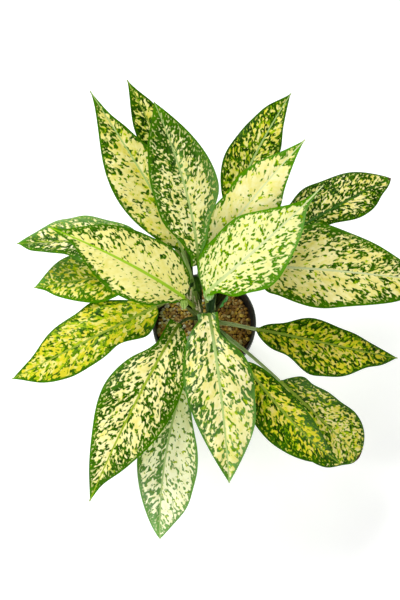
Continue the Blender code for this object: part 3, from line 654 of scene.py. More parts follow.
def leaf_material(number, look):
    """Dark green blots, strings of flecks and cream specks over lime, yellow and cream.

    They lean from the midrib to the margin and thicken at its edge. Lengths are in millimetres.
    """
    tree = Tree(f"leaf_{number:02d}", 0.34)
    s, q, along = tree.split(tree.attribute("veins", "Vector"))
    t, across, edge = tree.split(tree.attribute("place", "Vector"))
    right = tree.step(-0.02, 0.02, across)
    layer = right * 37.0 + number * 7.3
    off = abs(q)
    # Across and along the blots
    lean = math.radians(BLOT_LEAN)
    u = along * math.sin(lean) - off * math.cos(lean)
    v = along * math.cos(lean) + off * math.sin(lean)
    u, v = tree.warped(u, v, layer, 0.10, 2.2)
    blots = tree.plane_noise(u, v, 2.7, 5.6, layer, 0.2)
    specks = tree.plane_noise(u, v, 1.8, 3.3, layer, 0.0)
    clumps = tree.plane_noise(u, v, 8.0, 12.0, layer, 1.0)
    # In standard deviations from its mean, lowered along winding strings
    value = (blots + specks * 0.30 + clumps * 0.55 - 0.925) / 0.118
    strings = abs(tree.plane_noise(u, v, 4.6, 11.0, layer + 11.0, 0.0) - 0.5)
    strings = 1 - tree.step(0.0, 0.085, strings)
    value = value * 0.85 - strings * STRING_DEPTH + (0.30 * STRING_DEPTH - 0.22)

    margin = right * (look.margins[1] - look.margins[0]) + look.margins[0]
    near_edge = tree.clamp(1 - edge / margin)
    tip = tree.step(1 - look.tip * 1.6, 1.0, t)
    levels = [NormalDist().inv_cdf(share) for share in look.cover]
    level = right * (levels[1] - levels[0]) + levels[0]
    patch = tree.plane_noise(s, q, 20.0, 22.0, layer, 1.0)
    threshold = level + near_edge**1.15 * 3.8 + tip * 1.7 + (across * across - 0.33) * 1.4
    threshold = threshold + tree.attribute("spots") + (patch - 0.5) * 3.5
    # The midrib narrows towards the tip, and some have green along both sides
    beside = off / (t * (-0.74 * look.rib_width) + look.rib_width)
    border = 1 - tree.step(1.0, 2.8, beside)
    depth = threshold + border * look.border - value
    is_green = tree.step(-0.10, 0.10, depth)
    fringe = tree.step(-0.55, -0.05, depth)
    # Cream specks inside the green, but not in the thin line at the edge
    dots = (tree.plane_noise(u, v, 1.9, 3.2, layer + 60.0, 0.0) - 0.5) / 0.105
    dots = tree.step(1.05, 1.35, dots + tree.math("MINIMUM", near_edge, 0.6) * 0.7)
    is_green = is_green * (1 - dots * tree.step(1.8, 2.6, edge))

    other = (tree.plane_noise(u, v, 3.4, 5.2, layer + 50.0, 1.0) - 0.5) / 0.097
    lime_level = NormalDist().inv_cdf(look.lime)
    is_lime = 1 - tree.step(lime_level - 0.15, lime_level + 0.15, value * 0.5 + other * 0.85)
    tone = tree.plane_noise(u, v, 4.0, 6.0, layer + 80.0, 1.0)
    slow = tree.plane_noise(s, q, 14.0, 18.0, layer + 20.0, 2.0)
    yellowness = tree.clamp((slow + tone - 1.0) * (0.5 + 1.5 * look.yellow) + look.yellow)
    ground = tree.mix(yellowness, colour(look.cream), YELLOW)
    lime = tree.mix(tree.step(0.42, 0.60, tone), LIME_DARK, LIME_LIGHT)
    paler = tree.clamp((tone - 0.5) * 2.5 + look.green * 0.75)
    green = tree.mix(paler, DARK_GREEN, LEAF_GREEN)
    green = tree.mix(max(look.green - 1, 0), green, BRIGHT_GREEN)
    outer = tree.math("MAXIMUM", near_edge * 0.4, tip * 0.8)
    green = tree.mix(outer * min(look.green, 1), green, BRIGHT_GREEN)
    # Painted sheen: reflected light painted into the colour, strong on the green and faint on the ground
    if look.sheen:
        painted_sheen = tree.clamp(((slow - 0.5) * 1.6 + 1.0) * tree.attribute("sheen"))
        green = tree.mix(painted_sheen, green, PAINTED_SHEEN)
        ground = tree.mix(painted_sheen * 0.2, ground, PAINTED_SHEEN)
    shade = tree.mix(is_lime, ground, lime)
    shade = tree.mix(fringe * 0.55, shade, LIME_DARK)
    shade = tree.mix(is_green, shade, green)

    # Side veins, a little paler than what they cross, and the midrib
    vein = 1 - tree.step(0.0, 0.055, tree.math("PINGPONG", s / (VEIN_SPACING * MILLIMETRES), 0.5))
    shade = tree.mix(vein * tree.step(0.5, 3.0, edge) * 0.07, shade, VEIN)
    rib = 1 - tree.step(0.72, 1.1, beside)
    rib_shade = tree.mix(tree.step(0.0, 0.30, t), RIBS[look.foot or look.rib], RIBS[look.rib])
    shade = tree.mix(rib * 0.92, shade, rib_shade)
    if look.dry_tip:
        dry = tree.step(1 - look.dry_tip, 1 - look.dry_tip * 0.6, t)
        shade = tree.mix(dry, shade, DRY_BROWN)
    beneath = tree.mix(0.55, shade, UNDER_GREEN)
    shade = tree.mix(tree.attribute("under"), shade, beneath)
    tree.set(tree.shader.inputs["Roughness"], slow * 0.14 + 0.24)
    tree.shader.inputs["Specular IOR Level"].default_value = look.gloss
    return tree.finish(shade, tree.plane_noise(s, q, 0.42, 0.42, layer, 2.0), 0.00012, 0.5)


def stem_material():
    """Green petioles and folds in their own tints, with darker streaks and paler blots."""
    tree = Tree("stem green", 0.42)
    along, around, kind = tree.split(tree.attribute("stem", "Vector"))
    streak = tree.noise(tree.join(along * 0.05, around * 4, kind), 1.0, 3.0)
    blot = tree.noise(tree.join(along * 0.16, around, kind), 1.0, 2.0)
    tint = tree.attribute("tint", "Vector")
    darker = tree.mix(1.0, tint, (0.42, 0.46, 0.35, 1), "MULTIPLY")
    # Dark stems get less of the pale blots
    paleness = tree.math("MINIMUM", tree.split(tint)[1], 0.30)
    paler = tree.mix(paleness, tint, colour("c9d88c"))
    shade = tree.mix(tree.step(0.32, 0.62, streak), darker, tint)
    shade = tree.mix(tree.step(0.52, 0.74, blot) * 0.6, shade, paler)
    tree.shader.inputs["Specular IOR Level"].default_value = 0.10
    return tree.finish(shade, streak, 0.0002, 0.5)


def cane_material():
    """Ringed green cane, browner at the scars and near the mix."""
    tree = Tree("cane", 0.5)
    point = tree.point()
    height = tree.split(point)[2]
    low = 1 - tree.step(SOIL_LEVEL, SOIL_LEVEL + 0.04, height)
    ring = tree.math("PINGPONG", (height - SOIL_LEVEL) / CANE_INTERNODE, 0.5)
    scar = 1 - tree.step(0.02, 0.16, ring)
    mottle = tree.noise(point, 420, 3.0)
    base = tree.mix(tree.step(0.35, 0.65, mottle), colour("55702f"), colour("8b9a4c"))
    base = tree.mix(low * 0.6, base, colour("7b6a40"))
    base = tree.mix(scar * 0.7, base, colour("6a5836"))
    return tree.finish(base, mottle, 0.0003, 0.6)


def dry_material():
    """Papery remains of old leaf sheaths."""
    tree = Tree("dry sheath", 0.7)
    grain = tree.noise(tree.point(), 500, 3.0)
    base = tree.ramp(grain, ((0.3, "7c7444"), (0.5, "bcb484"), (0.7, "e0dcb8")))
    return tree.finish(base, grain, 0.0003, 0.7)


def stone_material():
    """Each grain has its own tone and its own mottling."""
    tree = Tree("grit", 0.62)
    tone = tree.attribute("tone")
    stops = (
        (0.00, "6a4a10"),
        (0.14, "9a6a18"),
        (0.28, "c48c28"),
        (0.42, "e4b03c"),
        (0.56, "f8d050"),
        (0.68, "b88034"),
        (0.80, "fae49a"),
        (0.92, "fffaea"),
    )
    base = tree.ramp(tone, stops)
    shift = tree.join(tone, tone, tone)
    place = tree.add("ShaderNodeVectorMath", {0: tree.point(), 1: shift}, operation="ADD").outputs[0]
    mottle = tree.noise(place, 620, 3.0, 0.6)
    base = tree.mix(tree.step(0.40, 0.66, mottle), tree.mix(0.5, base, colour("3a2408")), base)
    speck = tree.step(0.60, 0.68, tree.noise(place, 1900, 1.0))
    base = tree.mix(speck * 0.4, base, colour("f0dca0"))
    return tree.finish(base, tree.noise(place, 1500, 3.0, 0.6), 0.0004, 0.6)


def soil_material():
    """Dark fines between the grains."""
    tree = Tree("mix fines", 0.9)
    grain = tree.noise(tree.point(), 700, 4.0, 0.65)
    base = tree.ramp(grain, ((0.35, "2a1a0a"), (0.55, "5a3a1a"), (0.72, "8a6232")))
    return tree.finish(base, grain, 0.0008, 0.8)


def pot_material():
    """Charcoal moulded plastic with a fine texture, and dust in streaks."""
    tree = Tree("pot plastic", 0.45)
    point = tree.point()
    x, y, z = tree.split(point)
    wide = tree.noise(point, 26, 3.0)
    streak = tree.noise(tree.join(x * 90, y * 90, z * 9), 1.0, 3.0)
    base = tree.mix(tree.step(0.35, 0.7, wide), colour("202122"), colour("2b2c2d"))
    base = tree.mix(tree.step(0.52, 0.78, streak) * 0.28, base, colour("5d574e"))
    tree.set(tree.shader.inputs["Roughness"], wide * 0.22 + 0.34)
    return tree.finish(base, tree.noise(point, 1600, 2.0), 0.00008, 0.5)


def seedling_material():
    tree = Tree("seedling", 0.5)
    grain = tree.noise(tree.point(), 500, 2.0)
    base = tree.mix(tree.step(0.3, 0.7, grain), colour("3f9a3c"), colour("6cc45e"))
    return tree.finish(base, grain, 0.0002, 0.4)


# Swept stems


class Builder:
    """Collects vertices, faces and attribute values of one mesh."""

    def __init__(self):
        self.vertices = []
        self.faces = []
        self.values = {}

    def add(self, vertices, faces, **values):
        first = len(self.vertices)
        self.vertices += [tuple(map(float, v)) for v in vertices]
        self.faces += [tuple(first + corner for corner in face) for face in faces]
        for name, rows in values.items():
            self.values.setdefault(name, []).extend(rows)

    def object(self, name, materials, sharp_angle):
        obj = new_object(name, self.vertices, self.faces, materials, sharp_angle)
        for attribute, rows in self.values.items():
            put(obj, attribute, rows)
        return obj


def petiole_controls(leaf):
    """Control points of a petiole, from the cane's axis to just under the blade's root."""
    foot = np.array((*CANES[leaf.shoot], leaf.node))
    controls = midrib(leaf)
    into_blade = unit(controls[1] - controls[0])
    up = blade_frame(leaf, np.array((0.0,)))[2][0]
    end = controls[0] + into_blade * PETIOLE_OVERLAP - up * PETIOLE_DROP
    reach = np.linalg.norm(end - foot)
    outwards = unit((end - foot) * (1, 1, 0))
    climb = unit(UP + PETIOLE_LEAN * outwards)
    first, second = (reach * handle for handle in leaf.handles)
    return (foot, foot + climb * first, end - into_blade * second, end), outwards


def petiole_frames(leaf, t):
    """Centre, sideways and facing directions along a petiole. It faces the cane and then the sky."""
    controls, outwards = petiole_controls(leaf)
    centre = bezier(controls, t)
    along = bezier_direction(controls, t)
    facing = -outwards * along[:, 2:3] + UP * (along @ outwards)[:, None]
    facing = unit(facing - np.sum(facing * along, axis=1)[:, None] * along)
    return centre, np.cross(along, facing), facing


def ring_faces(rows, sides):
    faces = []
    for row in range(rows - 1):
        for side in range(sides):
            after = (side + 1) % sides
            a = row * sides
            faces.append((a + side, a + after, a + sides + after, a + sides + side))
    faces.append(tuple(reversed(range(sides))))
    faces.append(tuple(range((rows - 1) * sides, rows * sides)))
    return faces


def tint_ends(piece):
    """The colours at a stem's foot and blade, or at a patch's base and free edge."""
    return [np.array(colour(code)[:3]) for code in (piece.low, piece.high)]


def add_petiole(builder, leaf, number, stem):
    low, high = tint_ends(stem)
    t = np.linspace(0, 1, PETIOLE_RINGS)
    centre, side, facing = petiole_frames(leaf, t)
    radii = PETIOLE_TIP_RADIUS + (PETIOLE_FOOT_RADIUS - PETIOLE_TIP_RADIUS) * (1 - t) ** 2
    radii *= stem.thick * (1 - 0.35 * smooth_step(0.93, 1.0, t))
    turns = 2 * math.pi * np.arange(PETIOLE_SIDES) / PETIOLE_SIDES
    from_top = np.abs((turns - math.pi / 2 + math.pi) % (2 * math.pi) - math.pi)
    vertices = []
    marks = []
    tints = []
    for row, share in enumerate(t):
        groove = 0.42 * (1 - smooth_step(0.5, 0.95, np.array(share)))
        radius = radii[row] * (1 - groove * np.exp(-((from_top / 0.55) ** 2)))
        for angle, r in zip(turns, radius):
            vertices.append(centre[row] + r * (math.cos(angle) * side[row] + math.sin(angle) * facing[row]))
            marks.append((share * 100, angle, number * 1.3))
            tints.append(tuple(low * (1 - share) + high * share))
    builder.add(vertices, ring_faces(len(t), PETIOLE_SIDES), stem=marks, tint=tints)


def add_sheath(builder, leaf, number, stem):
    """The clasping foot of a petiole: a thin gutter that opens towards the cane and runs out half way up."""
    rows, columns = 26, 17
    low, high = tint_ends(stem)
    pale = np.array(colour("d5dfa6")[:3])
    t = np.linspace(0, stem.sheath, rows)
    centre, side, facing = petiole_frames(leaf, t)
    share = t / t[-1]
    radius = SHEATH_RADIUS * (1 - share) ** 1.6 + stem.girth * (1 - (1 - share) ** 1.6)
    wrap = math.radians(SHEATH_WRAP) * (1 - 0.55 * share**1.5)
    layers = [[], []]
    marks = []
    tints = []
    for row in range(rows):
        tint = low * (1 - t[row]) + high * t[row]
        for column in range(columns):
            lean = 2 * column / (columns - 1) - 1
            angle = -math.pi / 2 + wrap[row] * lean
            outwards = math.cos(angle) * side[row] + math.sin(angle) * facing[row]
            ruffle = 1 + 0.05 * math.sin(9 * share[row] + column + number)
            for grid, inward in zip(layers, (0, SHEET)):
                grid.append(centre[row] + (radius[row] - inward) * ruffle * outwards)
            marks.append((share[row] * 60, column * 0.4, number * 2.1))
            lip = 0.45 * min(4 * tint[1], 1) * abs(lean) ** 4
            tints.append(tuple(tint * (1 - lip) + pale * lip))
    faces = sheet_faces(rows, columns, flip=True)
    builder.add(layers[0] + layers[1], faces, stem=marks * 2, tint=tints * 2)


class Stem(NamedTuple):
    """A petiole's tints at its foot and at its blade, how thick it is, and its sheath's girth and length."""

    low: str
    high: str
    thick: float = 1.0
    girth: float = 0.0026
    sheath: float = 0.52


STEMS = (
    Stem("4e6e18", "5a7a22"),
    Stem("7a9c34", "a4be70", 1.2),
    Stem("88ac3c", "3c6a08", 1.1),
    Stem("50741c", "5f8428"),
    Stem("50741c", "6f9030"),
    Stem("6a8a2c", "98b056", 1.35),
    # Leaves 7 and 8: near-black tints, painted shade where their petioles pass under leaf 6
    Stem("2c300a", "182000", 1.5, 0.0044, 0.66),
    Stem("32320a", "182000", 1.5, 0.0046, 0.66),
    Stem("7c9448", "aebc86", 1.1),
    Stem("78a048", "aebe88"),
    Stem("3a5a14", "4a6c1c"),
    Stem("35580a", "4e7410"),
    Stem("3a5a14", "4a6c1c"),
    Stem("3c4a0c", "3a5208", 0.85),
    Stem("50641c", "6f7c34"),
    Stem("50641c", "6f7c34"),
    Stem("4b6e0c", "88ac10", 1.25),
    Stem("64882c", "60783c"),
)


def make_shoot(name, stem, cane):
    builder = Builder()
    for number, leaf in enumerate(LEAVES, start=1):
        if leaf.shoot == name:
            add_petiole(builder, leaf, number, STEMS[number - 1])
            add_sheath(builder, leaf, number, STEMS[number - 1])
    obj = builder.object(f"petioles_{name}", [stem], 70)
    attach(obj, "root")
    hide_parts(f"shoot_{name}")

    height = SOIL_LEVEL - CANE_DEPTH
    profile = [(0, height)]
    while height < CANE_TOP - 0.001:
        phase = ((height - SOIL_LEVEL) / CANE_INTERNODE) % 1
        swelling = RING_HEIGHT * math.exp(-((min(phase, 1 - phase) / 0.12) ** 2))
        profile.append((CANE_RADIUS + swelling, height))
        height += CANE_STEP
    profile += [(CANE_RADIUS * 0.8, CANE_TOP), (0, CANE_TOP + CANE_CROWN)]
    obj = lathe_object(f"cane_{name}", profile, 28, [cane], CANES[name])
    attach(obj, "root")


class Patch(NamedTuple):
    """A small curved sheet at the crown: its four corners, how far it bulges, and its tints.

    It grows from its first two corners to its free edge, which can be ruffled and tapers to its sides.
    """

    corners: tuple
    bulge: float
    low: str = "c8ab84"
    high: str = "c8ab84"
    ruffle: float = 0.0
    taper: float = 0.0


FOLDS = (
    Patch(((-0.0019, 0.0005, 0.2290), (0.0104, -0.0030, 0.2288),
           (0.0105, -0.0094, 0.2200), (-0.0007, -0.0096, 0.2190)), 0.0022, "7fbc40", "c6dca6", 0.0006, 0.4),
    Patch(((-0.0271, -0.0109, 0.2260), (-0.0187, -0.0118, 0.2250),
           (-0.0193, -0.0191, 0.2170), (-0.0278, -0.0197, 0.2170)), 0.0020, "9cbc54", "c8dc90", 0.0014, 0.5),
    # The third sheet is near black: painted shade under leaf 6's folded base
    Patch(((0.0011, -0.0030, 0.2060), (0.0119, -0.0030, 0.2060),
           (0.0110, -0.0145, 0.1900), (0.0029, -0.0132, 0.1900)), 0.0020, "16380a", "244a06"),
    Patch(((-0.0181, 0.0192, 0.1960), (-0.0128, 0.0217, 0.1960),
           (-0.0198, 0.0609, 0.2140), (-0.0403, 0.0698, 0.2140)), 0.0010, "5c7a2c", "b4ac78"),
    Patch(((-0.0251, 0.0660, 0.2140), (-0.0041, 0.0635, 0.2140),
           (-0.0064, 0.0380, 0.2070), (-0.0163, 0.0380, 0.2070)), 0.0010, "3c6a0c", "2c5004"),
    Patch(((-0.0169, 0.0158, 0.1920), (-0.0125, 0.0183, 0.1920),
           (-0.0139, 0.0429, 0.2060), (-0.0185, 0.0429, 0.2060)), 0.0006, "1c3a04", "284a08"),
    Patch(((-0.0135, 0.0150, 0.1840), (-0.0047, 0.0150, 0.1840),
           (-0.0058, 0.0310, 0.1900), (-0.0135, 0.0310, 0.1900)), 0.0010, "3c6410", "2a4c08"),
    Patch(((-0.0076, 0.0725, 0.2080), (0.0089, 0.0751, 0.2080),
           (0.0006, 0.0530, 0.2000), (-0.0064, 0.0530, 0.2000)), 0.0010, "4a7c18", "3c6a10"),
)
SCRAPS = (
    Patch(((-0.0180, 0.0052, 0.180), (-0.0150, 0.0052, 0.180),
           (-0.0150, 0.0134, 0.195), (-0.0160, 0.0134, 0.195)), 0.0006),
    Patch(((-0.0195, 0.0014, 0.180), (-0.0168, 0.0014, 0.180),
           (-0.0198, 0.0090, 0.190), (-0.0206, 0.0090, 0.190)), 0.0006),
    Patch(((-0.0104, -0.0055, 0.175), (-0.0070, -0.0055, 0.175),
           (-0.0118, 0.0047, 0.195), (-0.0128, 0.0047, 0.195)), 0.0006),
    Patch(((-0.0066, -0.0080, 0.175), (-0.0038, -0.0080, 0.175),
           (-0.0070, 0.0016, 0.190), (-0.0078, 0.0016, 0.190)), 0.0006),
    Patch(((0.0036, -0.0098, 0.180), (0.0070, -0.0098, 0.180),
           (0.0046, -0.0021, 0.190), (0.0036, -0.0021, 0.190)), 0.0006),
)


def add_patch(builder, patch, number):
    rows, columns = 13, 17
    a, b, c, d = (np.array(corner) for corner in patch.corners)
    normal = unit(np.cross(b - a, d - a))
    faces_down = bool(normal[2] < 0)
    normal *= np.sign(normal[2])
    low, high = tint_ends(patch)
    layers = [[], []]
    marks = []
    tints = []
    for row in range(rows):
        down = row / (rows - 1)
        for column in range(columns):
            over = column / (columns - 1)
            reach = down * (1 - patch.taper * (2 * over - 1) ** 2)
            point = (a * (1 - over) + b * over) * (1 - reach) + (d * (1 - over) + c * over) * reach
            lift = patch.bulge * math.sin(math.pi * over) ** 0.7 * (0.6 + 0.4 * math.sin(math.pi * down))
            lift += patch.ruffle * down * math.sin(19 * over + number)
            layers[0].append(point + normal * lift)
            layers[1].append(point + normal * (lift - SHEET))
            marks.append((down * 30, over * 2, number * 3.7))
            tints.append(tuple(low * (1 - down**3) + high * down**3))
    faces = sheet_faces(rows, columns, flip=faces_down)
    builder.add(layers[0] + layers[1], faces, stem=marks * 2, tint=tints * 2)


def make_patches(name, patches, material):
    builder = Builder()
    for number, patch in enumerate(patches):
        add_patch(builder, patch, number)
    obj = builder.object(name, [material], 60)
    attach(obj, "root")


def lathe(profile, sides, centre=(0, 0)):
    """Vertices and faces of a profile of (radius, height) turned about a vertical axis.

    A point on the axis is one vertex.
    """
    vertices = []
    rings = []
    for radius, height in profile:
        count = sides if radius else 1
        rings.append([len(vertices) + side % count for side in range(sides)])
        for side in range(count):
            angle = 2 * math.pi * side / sides
            x, y = radius * math.cos(angle), radius * math.sin(angle)
            vertices.append((centre[0] + x, centre[1] + y, height))
    faces = []
    for low, high in zip(rings, rings[1:]):
        for side in range(sides):
            after = (side + 1) % sides
            corners = (low[side], low[after], high[after], high[side])
            faces.append(tuple(dict.fromkeys(corners)))
    return vertices, faces


def lathe_object(name, profile, sides, materials, centre=(0, 0), sharp_angle=40):
    return new_object(name, *lathe(profile, sides, centre), materials, sharp_angle)


# Pot, mix and grit


def pot_inner_radius(height):
    low = BASE_RADIUS - WALL
    high = WALL_TOP_RADIUS - WALL
    return low + (high - low) * (height - FLOOR) / (POT_HEIGHT - RIM_DEPTH - FLOOR)


def arc(centre, radius, start, end, steps):
    """Points of a profile's rounding, between two angles in degrees."""
    points = []
    for step in range(steps + 1):
        angle = math.radians(start + (end - start) * step / steps)
        points.append((centre[0] + radius * math.cos(angle), centre[1] + radius * math.sin(angle)))
    return points


def make_pot(material):
    # Roundings and small steps of the profile, from the base up and over the rim
    foot_round = 0.0012
    neck_step = 0.0006
    neck_round = 0.0008
    skirt_round = 0.0007
    waist_step = 0.0004
    outer_round = 0.0011
    inner_round = 0.0009
    floor_step = 0.0008
    rim_bottom = POT_HEIGHT - RIM_DEPTH
    rim_inner = RIM_RADIUS - RIM_WIDTH
    waist = RIM_RADIUS - waist_step
    profile = [(0, BASE_HOLLOW), (BASE_RING[0], BASE_HOLLOW), (BASE_RING[1], 0)]
    profile += arc((BASE_RADIUS - foot_round, foot_round), foot_round, -90, -10, 5)
    steps = 14
    low, high = 0.0016, rim_bottom - 0.0026
    for step in range(1, steps + 1):
        height = low + (high - low) * step / steps
        profile.append((BASE_RADIUS + (WALL_TOP_RADIUS - BASE_RADIUS) * height / rim_bottom, height))
    profile += arc((WALL_TOP_RADIUS + neck_step, rim_bottom - neck_round), neck_round, 170, 90, 4)
    profile += arc((RIM_RADIUS - skirt_round, rim_bottom + skirt_round), skirt_round, -90, 0, 4)
    profile += [(waist, rim_bottom + 0.004), (waist, POT_HEIGHT - 0.0032)]
    profile += arc((RIM_RADIUS - outer_round, POT_HEIGHT - outer_round), outer_round, 0, 90, 6)
    profile += arc((rim_inner + inner_round, POT_HEIGHT - inner_round), inner_round, 90, 180, 5)
    profile += [(rim_inner, rim_bottom + 0.002), (pot_inner_radius(rim_bottom), rim_bottom - 0.001)]
    floor_radius = pot_inner_radius(FLOOR)
    profile += [(floor_radius + 0.0001, FLOOR + floor_step), (floor_radius - floor_step, FLOOR), (0, FLOOR)]
    pot = lathe_object("nursery_pot", profile, POT_SEGMENTS, [material], sharp_angle=35)
    cutters = []
    for index in range(DRAIN_HOLES):
        angle = 2 * math.pi * (index + 0.5) / DRAIN_HOLES
        centre = (DRAIN_CIRCLE * math.cos(angle), DRAIN_CIRCLE * math.sin(angle))
        hole = [(0, -FLOOR), (DRAIN_RADIUS, -FLOOR), (DRAIN_RADIUS, 2 * FLOOR), (0, 2 * FLOOR)]
        cutters.append(lathe_object("cutter", hole, 32, [], centre))
    cut_away(pot, cutters)
    pot.data.shade_smooth()
    pot.data.set_sharp_from_angle(angle=math.radians(35))
    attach(pot, "root")
    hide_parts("pot")


def cut_away(obj, cutters):
    for cutter in cutters:
        modifier = obj.modifiers.new("cut", "BOOLEAN")
        modifier.object = cutter
        modifier.operation = "DIFFERENCE"
        modifier.solver = "EXACT"
    graph = bpy.context.evaluated_depsgraph_get()
    result = bpy.data.meshes.new_from_object(obj.evaluated_get(graph))
    obj.modifiers.clear()
    old = obj.data
    obj.data = result
    bpy.data.meshes.remove(old)
    for cutter in cutters:
        bpy.data.objects.remove(cutter)


def ground_height(x, y):
    """Gentle swells of the mix's surface."""
    return 0.0009 * math.sin(x * 130 + 1.0) * math.cos(y * 110 - 0.6) + 0.0005 * math.sin(x * 60 - y * 85)


def make_mix(material):
    """The dark body of the mix, whose top lies just under the grit."""
    rings = 34
    top = SOIL_LEVEL - FINES_DEPTH
    base = FLOOR + MIX_GAP
    outer = pot_inner_radius(SOIL_LEVEL) - MIX_GAP
    draw = random.Random(11)
    profile = [(outer * ring / rings, top) for ring in range(rings + 1)]
    profile += [(pot_inner_radius(0.003) - MIX_GAP, base), (0, base)]
    vertices, faces = lathe(profile, 120)
    rim = outer - MIX_GAP
    for index, (x, y, height) in enumerate(vertices):
        if index and height == top:
            rise = draw.uniform(-FINES_ROUGHNESS, FINES_ROUGHNESS) if math.hypot(x, y) < rim else 0
            vertices[index] = (x, y, top + ground_height(x, y) + rise)
    # The profile runs down, so each face is turned over
    faces = [(face[0], *face[:0:-1]) for face in faces]
    obj = new_object("mix_fines", vertices, faces, [material])
    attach(obj, "root")
    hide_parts("potting_mix")


def stone_shapes(count, draw, subdivisions):
    """Rough angular grains: a ball cut by random planes whose corners are worn."""
    mesh = bmesh.new()
    bmesh.ops.create_icosphere(mesh, subdivisions=subdivisions, radius=1)
    directions = np.array([v.co for v in mesh.verts])
    faces = [tuple(v.index for v in face.verts) for face in mesh.faces]
    mesh.free()
    shapes = []
    for _ in range(count):
        planes = unit(np.array([[draw.gauss(0, 1) for _ in range(3)] for _ in range(STONE_PLANES)]))
        offsets = np.array([draw.uniform(0.62, 1.0) for _ in range(STONE_PLANES)])
        facing = np.maximum(directions @ planes.T, 1e-3)
        reach = offsets / facing
        worn = np.sum(reach ** -9, axis=1) ** (-1 / 9)
        radius = np.minimum(worn, 1.08)
        rough = 1 + 0.03 * np.sin(directions @ np.array([7.0, 5.0, -6.0]) + draw.uniform(0, 6))
        shapes.append(directions * (radius * rough)[:, None])
    return shapes, faces


def stone_places(spacing, draw):
    """Jittered places on a hexagonal grid, inside the pot and clear of the canes."""
    outer = pot_inner_radius(SOIL_LEVEL) - spacing * 0.42
    row_step = spacing * math.sqrt(3) / 2
    jitter = STONE_JITTER * spacing
    reach = int(outer / row_step) + 2
    places = []
    for row in range(-reach, reach + 1):
        for column in range(-reach, reach + 1):
            x = (column + 0.5 * (row % 2)) * spacing + draw.uniform(-jitter, jitter)
            y = row * row_step + draw.uniform(-jitter, jitter)
            size = draw.uniform(0.8, 1.3)
            if math.hypot(x, y) > outer:
                continue
            if any(math.hypot(x - cx, y - cy) < CANE_RADIUS + spacing * 0.3 for cx, cy in CANES.values()):
                continue
            places.append((x, y, size))
    return places


def make_grit(name, material, spacing, radius, lift, subdivisions, seed):
    draw = random.Random(seed)
    shapes, faces = stone_shapes(STONE_SHAPES, draw, subdivisions)
    builder = Builder()
    for x, y, size in stone_places(spacing, draw):
        shape = shapes[draw.randrange(len(shapes))]
        angle = draw.uniform(0, 2 * math.pi)
        axis = (draw.gauss(0, 1), draw.gauss(0, 1), draw.gauss(0, 1))
        turn = np.array(Matrix.Rotation(angle, 3, axis))
        stretch = np.array([draw.uniform(0.85, 1.2), draw.uniform(0.8, 1.1), draw.uniform(0.65, 0.95)])
        points = (shape * stretch) @ turn.T * radius * size
        height = SOIL_LEVEL + lift + ground_height(x, y) + draw.uniform(-STONE_RISE, STONE_RISE)
        tone = draw.random()
        # Painted light and shade: the grit left of the stems is made paler where light falls, and the grit
        # right of them darker where the leaves shade it
        tone = 0.82 * tone if x > 0 else 0.5 + 0.5 * tone
        builder.add(points + np.array((x, y, height)), faces, tone=[tone] * len(points))
    obj = builder.object(name, [material], 35)
    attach(obj, "root")


def make_seedling(material):
    builder = Builder()
    x, y = SEEDLING_FOOT
    foot = SOIL_LEVEL - SEEDLING_DEPTH
    height = SEEDLING_HEIGHT + SEEDLING_DEPTH
    profile = [(0, foot)]
    for share in np.linspace(0, 1, 9):
        profile.append((SEEDLING_STEM_RADIUS - SEEDLING_STEM_TAPER * share, foot + height * share))
    profile.append((0, foot + height + 0.0003))
    builder.add(*lathe(profile, 12, SEEDLING_FOOT))
    rows, columns = 16, 9
    for turn, rise in SEEDLING_LEAVES:
        angle = math.radians(turn)
        forward = np.array((math.cos(angle), math.sin(angle), SEEDLING_LEAF_RISE))
        side = np.array((-math.sin(angle), math.cos(angle), 0))
        vertices = []
        for drop in (0, SEEDLING_SHEET):
            for row in range(rows):
                share = row / (rows - 1)
                swell = 0.16 + 0.84 * math.sin(math.pi * share**0.8) ** 0.8
                half = SEEDLING_LEAF_WIDTH / 2 * swell * (1 - share**6)
                middle = np.array((x, y, SOIL_LEVEL + rise)) + forward * SEEDLING_LEAF_LENGTH * share
                for column in range(columns):
                    lean = 2 * column / (columns - 1) - 1
                    lift = -0.0012 * share**2 + 0.0009 * abs(lean) * (half / 0.003) - drop
                    vertices.append(middle + side * half * lean + UP * lift)
        builder.add(vertices, sheet_faces(rows, columns, flip=True))
    obj = builder.object("seedling_plant", [material], 60)
    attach(obj, "root")
    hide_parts("seedling")


# Stage


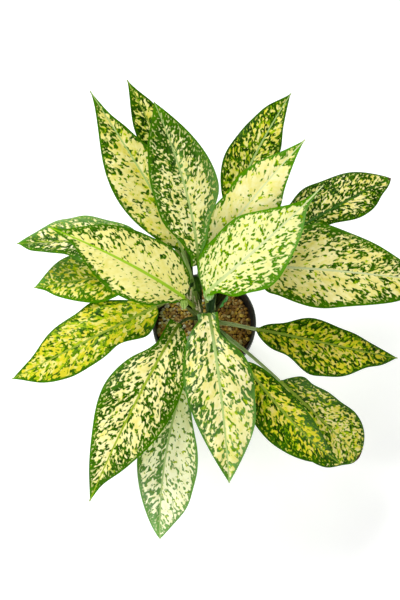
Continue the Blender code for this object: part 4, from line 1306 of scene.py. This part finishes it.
def make_stage():
    corners = [(x * GROUND_REACH, y * GROUND_REACH, 0) for x, y in ((-1, -1), (1, -1), (1, 1), (-1, 1))]
    floor = new_object("floor", corners, [(0, 1, 2, 3)], [])
    tree = Tree("floor", 0.9)
    tree.shader.inputs["Base Color"].default_value = (*[GROUND_WHITE] * 3, 1)
    tree.shader.inputs["Emission Color"].default_value = (1, 1, 1, 1)
    tree.shader.inputs["Emission Strength"].default_value = GROUND_GLOW
    floor.data.materials.append(tree.material)

    # Brighter near the horizon than overhead
    world = bpy.data.worlds.new("studio")
    bpy.context.scene.world = world
    world.use_nodes = True
    nodes = world.node_tree.nodes
    links = world.node_tree.links
    direction = nodes.new("ShaderNodeTexCoord")
    split = nodes.new("ShaderNodeSeparateXYZ")
    height = nodes.new("ShaderNodeMapRange")
    limits = {"From Min": 0.25, "From Max": 0.85, "To Min": HORIZON_LIGHT, "To Max": ZENITH_LIGHT}
    for key, value in limits.items():
        height.inputs[key].default_value = value
    links.new(direction.outputs["Generated"], split.inputs[0])
    links.new(split.outputs["Z"], height.inputs["Value"])
    links.new(height.outputs[0], nodes["Background"].inputs["Strength"])
    nodes["Background"].inputs["Color"].default_value = (1, 1, 1, 1)

    for name, place, size, power in LIGHTS:
        add_light(name, place, size, power)

    camera = bpy.data.objects.new("camera", bpy.data.cameras.new("camera"))
    bpy.context.scene.collection.objects.link(camera)
    camera.data.lens = CAMERA_LENS
    camera.data.sensor_width = CAMERA_SENSOR
    camera.location = CAMERA_PLACE
    camera.rotation_euler = (math.radians(CAMERA_TILT), 0, 0)
    bpy.context.scene.camera = camera
    bpy.context.scene.view_settings.view_transform = "Standard"


def add_light(name, place, size, power):
    light = bpy.data.lights.new(name, "AREA")
    light.shape = "DISK"
    light.size = size
    light.energy = power
    obj = bpy.data.objects.new(name, light)
    bpy.context.scene.collection.objects.link(obj)
    obj.location = place
    aim = Vector(LIGHT_AIM) - Vector(place)
    obj.rotation_euler = aim.to_track_quat("-Z", "Y").to_euler()


def main():
    make_stage()
    make_pot(pot_material())
    make_mix(soil_material())
    stones = stone_material()
    make_grit("grit_lower", stones, spacing=0.0052, radius=0.0026, lift=-0.0012, subdivisions=2, seed=5)
    make_grit("grit_top", stones, spacing=0.0050, radius=0.0024, lift=0.0008, subdivisions=3, seed=8)
    stem = stem_material()
    cane = cane_material()
    for name in CANES:
        make_shoot(name, stem, cane)
    make_patches("blade_folds", FOLDS, stem)
    make_patches("sheath_scraps", SCRAPS, dry_material())
    make_seedling(seedling_material())
    for number, (leaf, look) in enumerate(zip(LEAVES, LOOKS), start=1):
        make_blade(number, leaf, look, leaf_material(number, look))


main()
